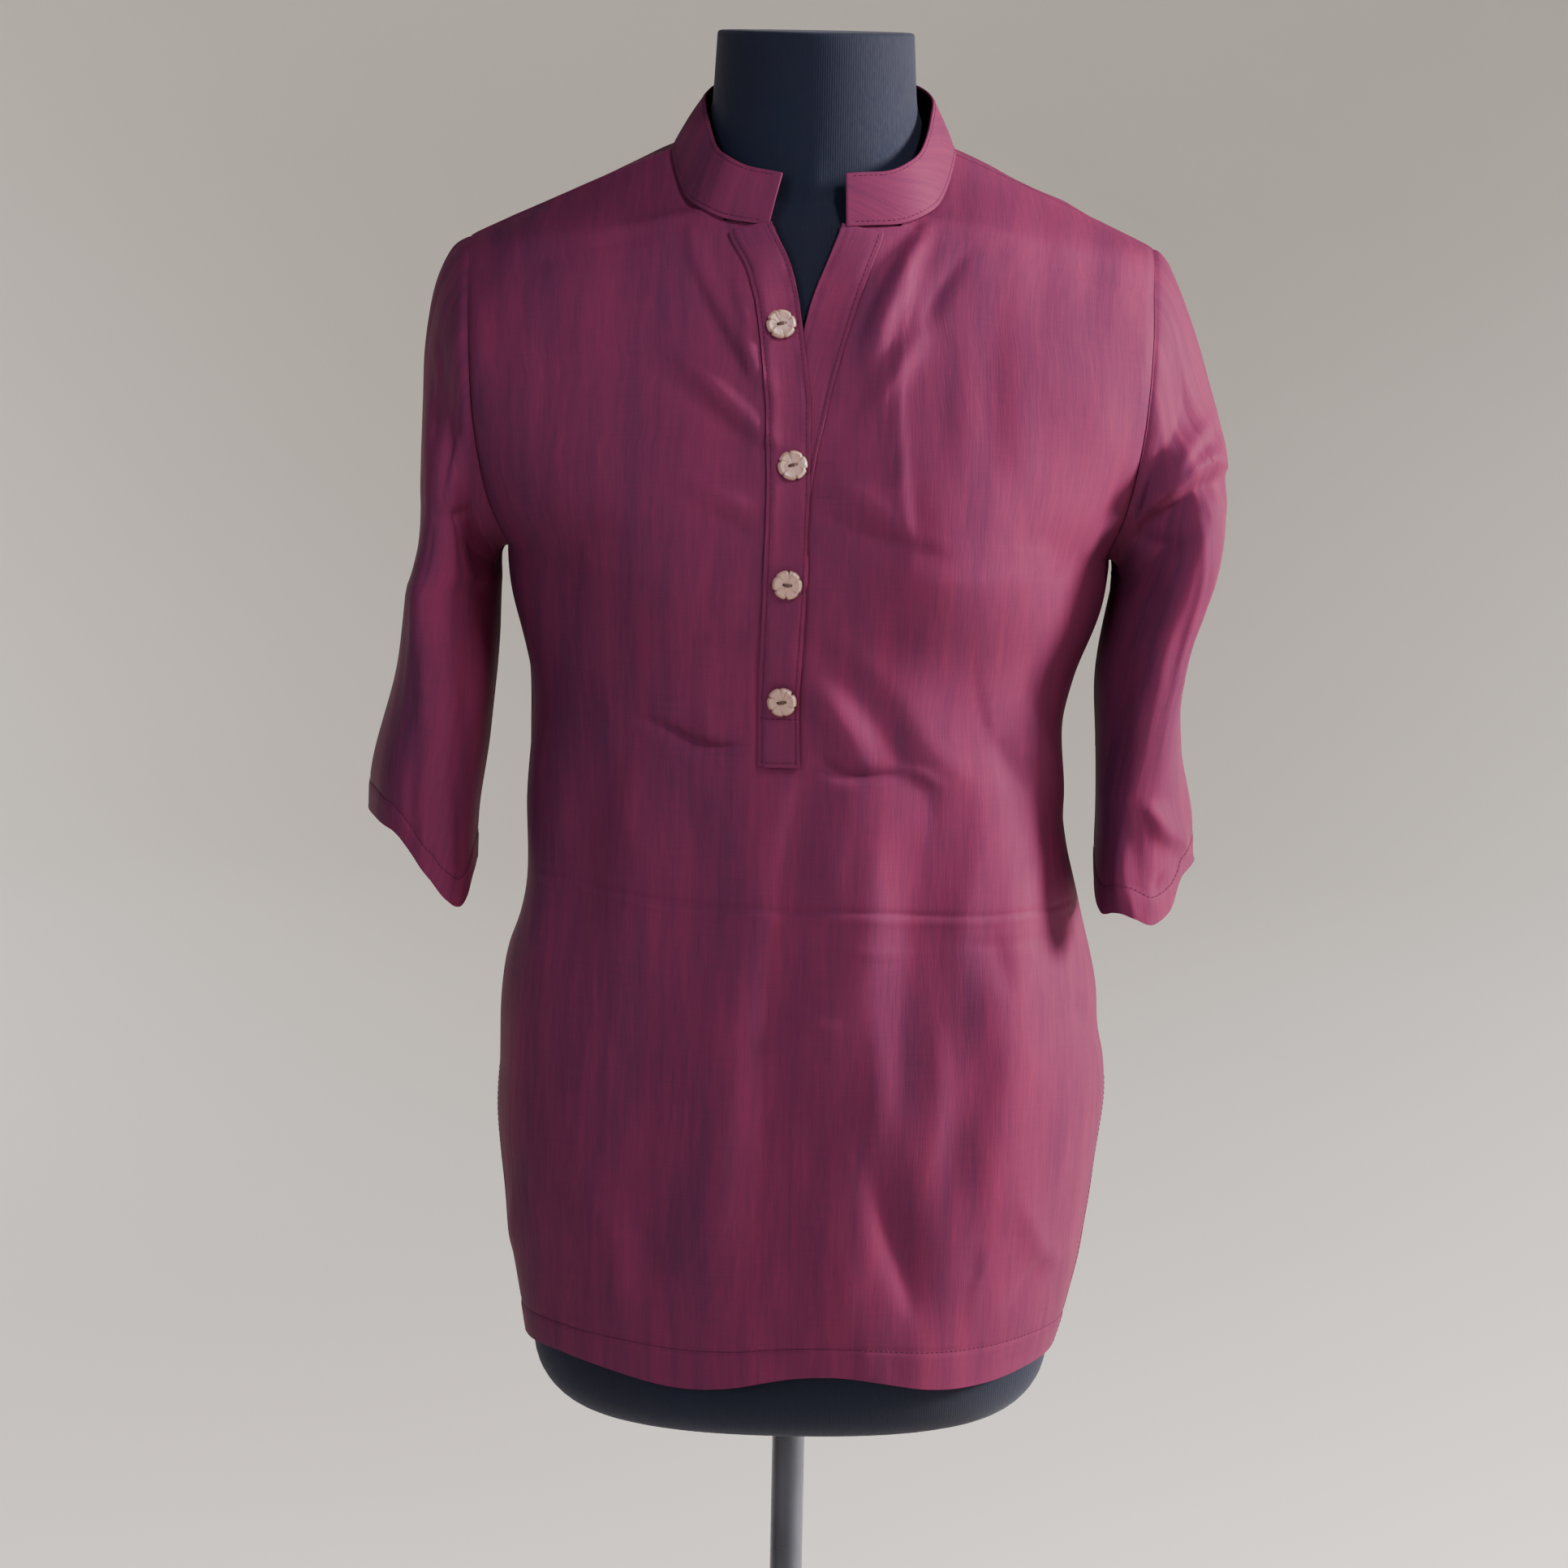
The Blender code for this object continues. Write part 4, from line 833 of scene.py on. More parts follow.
def plain(made):
    """Turn an object's modifiers into a plain mesh."""
    evaluated = made.evaluated_get(bpy.context.evaluated_depsgraph_get())
    mesh = bpy.data.meshes.new_from_object(evaluated)
    made.modifiers.clear()
    made.data = mesh
    return made


def new_piece(name, points, faces, stuff, maps=None):
    """An object from points, faces and a material, with its map where there is one."""
    mesh = bpy.data.meshes.new(name)
    mesh.from_pydata(np.asarray(points).reshape(-1, 3).tolist(), [], faces)
    mesh.materials.append(stuff)
    if maps is not None:
        layer = mesh.uv_layers.new(name="weave")
        flat = np.asarray(maps).reshape(-1, 2)
        order = np.empty(len(mesh.loops), int)
        mesh.loops.foreach_get("vertex_index", order)
        layer.data.foreach_set("uv", flat[order].astype(np.float32).ravel())
    made = bpy.data.objects.new(name, mesh)
    scene.collection.objects.link(made)
    return made


def grid_faces(rows, columns, first=0, flip=False, ring=False):
    """Quads that join the points of a grid, closed to a ring if asked."""
    i, j = np.meshgrid(np.arange(rows - 1), np.arange(columns if ring else columns - 1), indexing="ij")
    k = (j + 1) % columns
    quads = np.stack((i * columns + j, i * columns + k, (i + 1) * columns + k, (i + 1) * columns + j), -1)
    quads = quads.reshape(-1, 4) + first
    return (quads[:, ::-1] if flip else quads).tolist()


def make_sheet(name, grids, thickness, bevel=0.0):
    """One sheet from (grid, flip, ring, map) parts, joined where they meet."""
    points, maps, faces = [], [], []
    for grid, flip, ring, uv in grids:
        rows, columns = grid.shape[:2]
        faces += grid_faces(rows, columns, sum(len(p) for p in points), flip, ring)
        points.append(grid.reshape(-1, 3))
        maps.append(uv.reshape(-1, 2))
    made = new_piece(name, np.vstack(points), faces, cotton, np.vstack(maps))
    work = bmesh.new()
    work.from_mesh(made.data)
    bmesh.ops.remove_doubles(work, verts=work.verts, dist=SAME_PLACE)
    work.to_mesh(made.data)
    work.free()
    area = sum(face.area for face in made.data.polygons)
    wall = made.modifiers.new("wall", "SOLIDIFY")
    wall.thickness = thickness
    wall.offset = 1.0
    if bevel:
        edge = made.modifiers.new("edge", "BEVEL")
        edge.width = bevel
        edge.segments = 2
        edge.limit_method = "ANGLE"
        edge.angle_limit = math.radians(55)
    plain(made)
    made.data.shade_smooth()
    made.data.set_sharp_from_angle(angle=math.radians(62))
    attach(made, "root")
    print(name, "triangles", sum(len(p.vertices) - 2 for p in made.data.polygons), "area", round(area, 4))
    return made


# %% [markdown]
# ## The front and the back
# Each panel is one piece of cloth, cut at the neckline, the armholes, the sides and the hem.
# The front also has a slit down from the neck, which the placket finishes. The rows of the
# grid lie about three millimetres apart and closer at the hem, where the cloth is turned up.

# %% Edges of the panels
SLIT_TOP = 2.7
SLIT_RECESS = {FRONT: 0.060, BACK: 0.012}
SIDE_SEAM_GAP = 0.0010
SHOULDER_SEAM_GAP = 0.004
OPENING = np.array((
    (1.1000, -0.0030, -0.0030),
    (1.1200, -0.0040, -0.0020),
    (1.3390, -0.0050, -0.0034),
    (1.3565, -0.0072, 0.0012),
    (1.3750, -0.0119, 0.0083),
    (1.3940, -0.0210, 0.0152),
))
CORNER = {FRONT: 14.76, BACK: 14.90}
NECKLINE = {
    FRONT: ((15.0, 0.0480), (15.5, 0.0590), (16.0, 0.0665), (16.5, 0.0735), (17.0, 0.0775)),
    BACK: ((15.0, 0.0190), (15.5, 0.0430), (16.0, 0.0600), (16.5, 0.0720), (17.0, 0.0775)),
}


def eased_table(table, key, column, over):
    """A column of a table at the keys, with the corners between its rows rounded."""
    shifts = np.linspace(-over, over, 7)
    return np.mean([np.interp(key + s, table[:, 0], table[:, column]) for s in shifts], axis=0)


def edge_x(face, side, v):
    """Where a panel half starts: at the centre line, the opening or the neckline."""
    v = np.atleast_1d(v)
    corner = CORNER[face]

    def centre(rows):
        if face == BACK:
            return np.zeros(len(rows))
        z = row_at(face, rows).in_z
        return eased_table(OPENING, z, 1 if side == LEFT else 2, 0.005)
    corner_x = abs(centre(np.array([corner]))[0])
    table = np.array(((corner, corner_x),) + NECKLINE[face])
    curved = side * np.interp(v, table[:, 0], table[:, 1])
    return np.where(v <= corner + 1e-6, centre(np.minimum(v, corner)), curved)


def outer_edge(face, v):
    """Where a panel ends: at the side seam or armhole, and short of it beside a side slit."""
    open_share = np.minimum(1.0, 2.2 * np.clip(1 - v / SLIT_TOP, 0, 1))
    low = 1.0 - SIDE_SEAM_GAP - SLIT_RECESS[face] * open_share ** 1.5
    return np.where(v > UNDERARM, 1.0, low)


def panel_rows(face, spacing):
    """Rows at an even distance over the cloth, closer at the hem and the neckline's corner."""
    dense = np.linspace(0, TOP - SHOULDER_SEAM_GAP, 3000)
    row = row_at(face, dense)
    inner = np.hypot(np.hypot(np.gradient(row.in_x), np.gradient(row.in_y)), np.gradient(row.in_z))
    outer = np.hypot(np.hypot(np.gradient(row.out_x), np.gradient(row.out_y)), np.gradient(row.out_z))
    crowd = np.where(dense < 0.55, 2.4, 1.0) + np.where(np.abs(dense - CORNER[face] - 0.2) < 0.25, 1.6, 0.0)
    crowd += 0.9 * (np.abs(row.in_z - 1.104) < 0.022) + 1.2 * (np.abs(row.in_z - 1.014) < 0.012)
    way = np.cumsum((inner + outer) / 2 * crowd)
    rows = np.interp(np.linspace(way[0], way[-1], int((way[-1] - way[0]) / spacing)), way, dense)
    rows[np.argmin(np.abs(rows - CORNER[face]))] = CORNER[face]
    return rows


def panel_half(face, side, rows, columns):
    """Grid of half a panel; the step above the underarm is evened out, the creases stay."""
    start_side, start = side_and_place(face, edge_x(face, side, rows), rows)
    start = (start * start_side * side)[:, None]
    end = outer_edge(face, rows)[:, None]
    u = start + (end - start) * np.linspace(0, 1, columns + 1)[None, :]
    v = np.broadcast_to(rows[:, None], u.shape)
    sides = np.where(u >= 0, side, -side)
    grid, smooth = (cloth(face, sides, np.abs(u), v, fine=fine) for fine in (True, False))
    detail = grid - smooth
    inner = np.clip((np.abs(smooth[..., 0]) - 0.03) / 0.03, 0, 1) * np.clip((1 - np.abs(u)) / 0.12, 0, 1)
    weight = (inner * np.exp(-((v - UNDERARM - 0.3) / 0.9) ** 2))[1:-1, :, None]
    for _ in range(60):
        smooth[1:-1] += weight * 0.5 * ((smooth[:-2] + smooth[2:]) / 2 - smooth[1:-1])
    grid = smooth + detail
    uv = weave_map(grid, side, side * 0.001)
    uv[..., 0] += grid[:, :1, 0]
    return grid, face * side > 0, False, uv


# %% Front and back
FULL_SPACING = 0.0028
SPACING, FRONT_COLUMNS, BACK_COLUMNS, AROUND = FULL_SPACING, 74, 58, 5
for name, face, columns in (("front", FRONT, FRONT_COLUMNS), ("back", BACK, BACK_COLUMNS)):
    rows = panel_rows(face, SPACING if face == FRONT else SPACING * 1.15)
    halves = [panel_half(face, side, rows, columns) for side in (LEFT, RIGHT)]
    make_sheet(f"{name}_panel", halves, CLOTH)
    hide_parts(name)

# %% [markdown]
# ## The sleeves
# A sleeve is a tube that starts on the armhole, swells over the shoulder point and falls as a
# flattened tube. Its columns follow the armhole, and each runs on one smooth curve into the
# straight part. Creases are placed as seen from the front or the back and fade at the sides.

# %% Sizes of the sleeves
Ring = namedtuple("Ring", "z x y wide deep")
SLEEVE_RINGS = {
    LEFT: np.array((
        Ring(1.185, 0.1980, 0.004, 0.0238, 0.0640),
        Ring(1.140, 0.2030, 0.002, 0.0260, 0.0630),
        Ring(1.100, 0.2090, 0.001, 0.0280, 0.0610),
        Ring(1.060, 0.2140, 0.000, 0.0300, 0.0590),
        Ring(1.028, 0.2150, 0.000, 0.0300, 0.0580),
    )),
    RIGHT: np.array((
        Ring(1.185, 0.1990, 0.004, 0.0233, 0.0640),
        Ring(1.140, 0.1910, 0.002, 0.0225, 0.0640),
        Ring(1.100, 0.1930, 0.001, 0.0240, 0.0620),
        Ring(1.060, 0.1965, 0.000, 0.0255, 0.0600),
        Ring(1.028, 0.1945, 0.000, 0.0235, 0.0600),
    )),
}
SLEEVE_SQUARE = 0.86
CUFFS = {
    LEFT: ((0, 25.8, 1), (30, 24.5, 0), (61, 19, 0), (85, 0, 0), (98, -16, 0), (119, -25, 0), (134, -21, 0),
           (152, -9, 0), (180, -4, 0), (210, -9, 0), (240, -8, 0), (270, 3, 0), (300, 14, 0), (330, 22, 0)),
    RIGHT: ((0, 4, 7.5), (20, 1, 4), (32, -3, 1), (41, -17, 0), (59, -23, 0), (73, -26, 0), (88, -22.5, 0),
            (97, -18, 0), (110, -18, 0), (133, -22, 0), (160, -18, 0), (180, -9, 0), (225, -10, 0),
            (270, -10, 0), (315, -4, 0), (340, 2, 3)),
}
FRONT_RIDGE = {
    LEFT: ((1.030, -6), (1.050, -5), (1.117, 2), (1.180, 11), (1.230, 6)),
    RIGHT: ((1.030, -5), (1.074, -5), (1.100, 3), (1.140, 12), (1.185, 15), (1.230, 9)),
}
CAP_REACH_TOP = {LEFT: 0.108, RIGHT: 0.036}
CAP_REACH_UNDER = 0.028
CAP_FALL_TOP = 0.190
CAP_FALL_UNDER = 0.020
CAP_SWELL = {LEFT: (-0.0060, 4.0), RIGHT: (0.0170, 1.7)}
SEAM_ROLL = 0.0020
CUFF_TURN = 0.016


# %% Sleeve grid
def coarse_rows(face):
    """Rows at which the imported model's panels have points, from the underarm up."""
    corner = CORNER[face]
    upper = UNDERARM + (corner - UNDERARM) * np.arange(10) / 9
    neck = corner + (TOP - SHOULDER_SEAM_GAP - corner) * (np.arange(1, 7) / 6) ** 1.4
    return np.concatenate((upper, neck))[:-1]


def armhole(side, around):
    """Points round the armhole, the way the sleeve leaves each, and each one's angle."""
    front, back = coarse_rows(FRONT), coarse_rows(BACK)[1:]
    marks = [(FRONT, TOP)] + [(FRONT, v) for v in front[::-1]] + [(BACK, v) for v in back]
    faces, rows, angles = [], [], []
    for j, (face, v) in enumerate(marks):
        next_face, next_v = marks[(j + 1) % len(marks)]
        if j == len(marks) - 1:
            next_face = BACK
        for t in np.arange(around) / around:
            on = next_face if (face != next_face and v <= UNDERARM) else face
            faces.append(on)
            rows.append(v + (next_v - v) * t)
            angles.append(2 * math.pi * (j + t) / len(marks))
    faces, rows = np.array(faces), np.array(rows)
    edge, out = np.zeros((len(rows), 3)), np.zeros((len(rows), 3))
    for face in (FRONT, BACK):
        chosen = faces == face
        edge[chosen] = cloth(face, side, 1.0, rows[chosen], fine=False)
        out[chosen] = outward(face, side, np.ones(chosen.sum()), rows[chosen])
    along = np.roll(edge, -around, axis=0) - np.roll(edge, around, axis=0)
    away = unit(np.cross(along, out) * -side)
    return edge, away, np.array(angles)


def grid_normals(grid, ring):
    """Normals of a grid's points, from their neighbours."""
    if ring:
        across = np.roll(grid, -1, axis=1) - np.roll(grid, 1, axis=1)
    else:
        across = np.gradient(grid, axis=1)
    return unit(np.cross(across, np.gradient(grid, axis=0)))


def cuff_shape(side, angle):
    """Rise and flare of the cuff's edge round the sleeve, eased between the table's rows."""
    table = np.array(CUFFS[side], float)
    eased = []
    for column in (1, 2):
        turns = [np.interp((np.degrees(angle) + shift) % 360, table[:, 0], table[:, column], period=360)
                 for shift in np.linspace(-7, 7, 9)]
        eased.append(0.001 * np.mean(turns, axis=0))
    return eased


def sleeve_grid(side, around, cap_rows, arm_rows):
    """Grid of a sleeve from its seam to the cuff, without creases, and its columns' angles."""
    rings, (swell, late) = SLEEVE_RINGS[side], CAP_SWELL[side]
    start, away, angle = armhole(side, around)
    outer = ((1 + np.cos(angle)) / 2)[:, None]
    seam = start + away * (GAP + (CLOTH + GAP) * (1 - outer) ** 2)
    first = seam + away * (LEAST_AIR + SEAM_ROLL * outer)

    def ring_points(place):
        z, x, y, wide, deep = blend(rings, place)[0]
        c, s = np.cos(angle), np.sin(angle)
        c, s = np.sign(c) * np.abs(c) ** SLEEVE_SQUARE, np.sign(s) * np.abs(s) ** SLEEVE_SQUARE
        return np.stack((side * (x + wide * c), y - deep * s, z + 0 * c), -1)
    last = ring_points(0.0)
    leave = away + (np.array((side, 0, 0)) - away) * 0.80 * (1 - outer)
    leave = leave * (CAP_REACH_UNDER + (CAP_REACH_TOP[side] - CAP_REACH_UNDER) * outer)
    arrive = np.zeros_like(last)
    arrive[:, 2:] = -(CAP_FALL_UNDER + (CAP_FALL_TOP - CAP_FALL_UNDER) * outer)
    grid = [seam]
    for t in np.linspace(0, 1, cap_rows):
        point = first * (2 * t ** 3 - 3 * t ** 2 + 1) + leave * (t ** 3 - 2 * t ** 2 + t)
        point = point + last * (3 * t ** 2 - 2 * t ** 3) + arrive * (t ** 3 - t ** 2)
        point[:, 0] += (side * swell * outer * math.sin(math.pi * t ** late))[:, 0]
        grid.append(point)
    full = len(rings) - 1.0
    rise, flare = cuff_shape(side, angle)
    for place in np.linspace(0, full, arm_rows)[1:]:
        point = ring_points(place)
        point[:, 2] += rise * (place / full) ** 2
        point[:, 0] += side * flare * (place / full) ** 5
        grid.append(point)
    grid = np.array(grid)
    table = np.array(FRONT_RIDGE[side], float)
    ridge = 0.001 * np.interp(grid[..., 2], table[:, 0], table[:, 1])
    ridge *= np.clip((1.30 - grid[..., 2]) / 0.06, 0, 1) * np.maximum(0, np.sin(angle)) ** 1.5
    away_from_seam = np.clip((np.arange(len(grid)) - 2) / (0.3 * len(grid)), 0, 1)[:, None]
    grid[..., 0] += side * ridge * away_from_seam
    return grid, angle


def dress_sleeve(grid, side):
    """Move a sleeve's points by its creases, its ripples and the turned cuff."""
    normals = grid_normals(grid, True) * side
    x, z = grid[..., 0], grid[..., 2]
    rise = np.zeros(x.shape)
    for face in (FRONT, BACK):
        weight = np.clip(0.5 + 1.4 * face * normals[..., 1], 0, 1)
        rise += weight * crease_rise(SLEEVE_CREASES[side], face, x, z)
    around = np.arctan2(normals[..., 1], normals[..., 0]) * 0.045
    rise += ripple(around, z, 40 + side)
    from_seam, from_cuff = lengths(grid, 0), lengths(grid[::-1], 0)[::-1]
    rise *= np.clip(from_seam / 0.012, 0, 1) ** 1.5
    rise += turned_edge(from_cuff, CUFF_TURN)
    rise -= 0.0006 * np.exp(-(from_seam / 0.0022) ** 2)
    return grid + normals * rise[..., None]


sleeves, sleeve_cloth = {}, {}
for name, side in (("left", LEFT), ("right", RIGHT)):
    grid, angle = sleeve_grid(side, AROUND, 14 * AROUND, 14 * AROUND)
    grid = dress_sleeve(grid, side)
    sleeve_cloth[side] = grid
    closed = np.concatenate((grid, grid[:, :1]), axis=1)
    uv = weave_map(closed)
    sleeves[side] = make_sheet(f"sleeve_{name}_cloth", [(closed, side == LEFT, False, uv)], CLOTH)
    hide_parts(f"sleeve_{name}")

# %% [markdown]
# ## The placket
# The front opens from the neck to below the last button. A strip of cloth finishes each edge,
# and the upper strip covers the lower one. Both lie on the panel, so their points are the
# panel's points, lifted by the gap, and the upper strip steps up over the lower one.

# %% Strips
OVER_STRIP = np.array((
    (1.0985, -0.0240, -0.0015),
    (1.1400, -0.0245, -0.0025),
    (1.1950, -0.0235, 0.0000),
    (1.2540, -0.0225, 0.0012),
    (1.3000, -0.0238, 0.0006),
    (1.3390, -0.0280, -0.0045),
    (1.3565, -0.0305, -0.0072),
    (1.3750, -0.0350, -0.0119),
    (1.3965, -0.0460, -0.0226),
))
UNDER_STRIP = np.array((
    (1.1030, -0.0170, -0.0035),
    (1.2300, -0.0170, -0.0010),
    (1.2700, -0.0150, 0.0045),
    (1.3100, -0.0090, 0.0130),
    (1.3390, -0.0034, 0.0210),
    (1.3565, 0.0012, 0.0260),
    (1.3750, 0.0083, 0.0320),
    (1.3965, 0.0162, 0.0392),
))
STRIP_AIR = 0.0006
STRIP_SPACING = 0.0018
OVER_LIFT = STRIP_AIR + PLACKET + 0.0004


def row_of_height(z):
    """The front's row whose centre point has the given height."""
    dense = np.linspace(UNDERARM - 6, NECK_ROW, 2000)
    return np.interp(z, row_at(FRONT, dense).in_z, dense)


def strip_edges(table, z):
    """Left and right edge of a strip at heights z."""
    return eased_table(table, z, 1, 0.005), eased_table(table, z, 2, 0.005)


def strip_points(table, z, share, stepped):
    """Points of a strip at a height and a share of its width."""
    low, high = strip_edges(table, z)
    lift = np.full(np.broadcast(z, share).shape, STRIP_AIR)
    if stepped:
        t = np.clip(share / 0.2, 0, 1)
        lift = STRIP_AIR + (OVER_LIFT - STRIP_AIR) * t * t * (3 - 2 * t) + 0 * z
    sewn = np.minimum(share, 1 - share) * (high - low)
    lift = lift + 0.00022 * np.sin(z / 0.0032 + 3 * np.sin(z * 70)) * np.exp(-(sewn - 0.002) ** 2 / 4e-6)
    lift = lift - 0.00030 * np.exp(-((sewn - 0.0022) / 0.0008) ** 2)
    return on_front(low + (high - low) * share, row_of_height(z), CLOTH + lift)


def make_strip(name, table, stepped, columns):
    """One strip of the placket as a sheet."""
    count = int((table[-1, 0] - table[0, 0]) / (STRIP_SPACING * SPACING / FULL_SPACING))
    z = np.linspace(table[0, 0], table[-1, 0], count)[:, None]
    t = np.linspace(0, 1, columns)[None, :]
    share = 0.5 - 0.5 * np.cos(np.pi * (0.08 + 0.84 * t)) / math.cos(0.08 * math.pi)
    z, share = np.broadcast_arrays(z, np.clip(share, 0, 1))
    grid = strip_points(table, z, share, stepped)
    return make_sheet(name, [(grid, False, False, weave_map(grid))], PLACKET, 0.0003)


over_strip = make_strip("placket_upper", OVER_STRIP, True, 22)
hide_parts("placket_over")
under_strip = make_strip("placket_lower", UNDER_STRIP, False, 14)
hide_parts("placket_under")

# %% [markdown]
# ## The collar
# The stand collar is a stiffened band, sewn on round the neckline and leaning in towards the
# neck. Its foot follows the neckline of both panels, and its head is the foot moved up and in.

# %% Collar
COLLAR_HEIGHT = 0.029
COLLAR_LEAN_SIDE = 0.195
COLLAR_LEAN_FORE = 0.100
COLLAR_SHIFT = 0.0025
COLLAR_AIR = 0.0009
COLLAR_INSET = 0.014


def even_line(points, count):
    """The same line with its points at even distances."""
    way = np.concatenate(([0], np.cumsum(np.linalg.norm(np.diff(points, axis=0), axis=1))))
    spots = np.linspace(0, way[-1], count)
    return np.stack([np.interp(spots, way, points[:, k]) for k in range(points.shape[1])], -1)


def rounded(points, passes):
    """The line with its small corners smoothed; its ends stay."""
    for _ in range(passes):
        inner = (points[:-2] + 2 * points[1:-1] + points[2:]) / 4
        points = np.concatenate((points[:1], inner, points[-1:]))
    return points


def collar_foot(count):
    """The collar's lower line, along the necklines of both panels."""
    parts = []
    for face, side, upward in ((FRONT, LEFT, True), (BACK, LEFT, False),
                               (BACK, RIGHT, True), (FRONT, RIGHT, False)):
        corner = CORNER[face]
        v = corner + (TOP - corner) * np.linspace(0, 1, 90) ** 1.6
        found, u = side_and_place(face, edge_x(face, side, v), v)
        u = np.where(found == side, u, 0.0)
        inset = COLLAR_INSET * (np.clip(u / COLLAR_INSET, 0, 1) if face == BACK else 1.0)
        part = cloth(face, side, u + inset, v, CLOTH + COLLAR_AIR)
        part = part if upward else part[::-1]
        parts.append(part if not parts else part[1:])
    return rounded(even_line(np.vstack(parts), count), round(45 * (count / 280) ** 2))


foot = collar_foot(280)
head = np.stack((foot[:, 0] * (1 - COLLAR_LEAN_SIDE) + COLLAR_SHIFT,
                 foot[:, 1] * (1 - COLLAR_LEAN_FORE), foot[:, 2] + COLLAR_HEIGHT), -1)
share = np.linspace(0, 1, 16)[:, None, None]
collar_grid = foot[None] + (head - foot)[None] * share
collar_out = -grid_normals(collar_grid, False)
way = lengths(collar_grid, 1)
bulge = 0.0008 * np.sin(np.pi * share[..., 0])
bulge = bulge + 0.0005 * soft_noise(way, share[..., 0] * 0.03, 0.035, 0.03, 9)
near_foot = collar_grid[..., 2] - foot[None, :, 2]
groove = -0.0004 * np.exp(-((near_foot - 0.0025) / 0.0010) ** 2)
collar_grid = collar_grid + collar_out * (bulge * share[..., 0] ** 0.5 + groove)[..., None]
collar = make_sheet("collar_band", [(collar_grid, True, False, weave_map(collar_grid))], BAND, 0.0005)
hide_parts("collar")

# %% [markdown]
# ## Buttons
# Each button is a small disc of pale wood with six notches in its rim and shallow carved
# lines that run in from them. It sits on the upper strip, turned to lie flat on it. Two holes
# are cut through it, and dark thread runs from one to the other.

# %% Button shape
BUTTON_RADIUS = 0.00825
BUTTON_THICK = 0.0024
NOTCHES = 6
NOTCH_DEPTH = 0.0008
HOLE_RADIUS = 0.0008
HOLE_SPACING = 0.0040
BUTTONS = ((-0.0160, 1.3400), (-0.0085, 1.2640), (-0.0105, 1.2010), (-0.0115, 1.1370))
BUTTON_TILTS = (8, 14, -5, 10)


def seat_of(x, z):
    """Centre and axes of a button that lies flat on the upper strip."""
    reach = 0.95 * BUTTON_RADIUS
    lift = CLOTH + OVER_LIFT + PLACKET
    offsets = [(i, j) for j in (-1, 0, 1) for i in (-1, 0, 1)]
    spots = on_front(np.array([x + i * reach for i, _ in offsets]),
                     row_of_height(np.array([z + j * reach for _, j in offsets])), lift)
    across = unit(spots[5] - spots[3])
    out = unit(np.cross(across, spots[7] - spots[1]))
    rising = np.cross(out, across)
    seat = ((spots - spots[4]) @ out).max()
    return spots[4] + out * (seat + 1.5 * GAP), across, rising, out


def carving(radius, angle, number):
    """Depth of the carved lines: six from the rim inwards and one from the middle outwards."""
    bent = angle + 0.10 * np.sin(2.0 * angle + number) + 0.25 * (1 - radius)
    lines = np.maximum(0, -np.cos(NOTCHES * bent)) ** 10 * np.clip((radius - 0.38) / 0.25, 0, 1)
    facing = angle + 0.9 + 0.3 * number
    deep = np.exp(-(np.sin(facing) * radius / 0.07) ** 2) * np.clip(radius * 2, 0, 1)
    return np.clip(0.75 * lines + 0.55 * deep * (np.cos(facing) < 0), 0, 1)


def button_height(radius, angle, number):
    """Height of the carved face at a share of the radius."""
    dish = 0.80 + 0.20 * np.clip((radius - 0.50) / 0.30, 0, 1) ** 1.5
    rim = np.clip((1 - radius) / 0.16, 0, 1) ** 0.6
    worn = 0.030 * np.sin(5 * angle + number) * radius
    return np.maximum(dish * rim - 0.22 * carving(radius, angle, number) + worn * rim, 0.30 * (1 - rim))


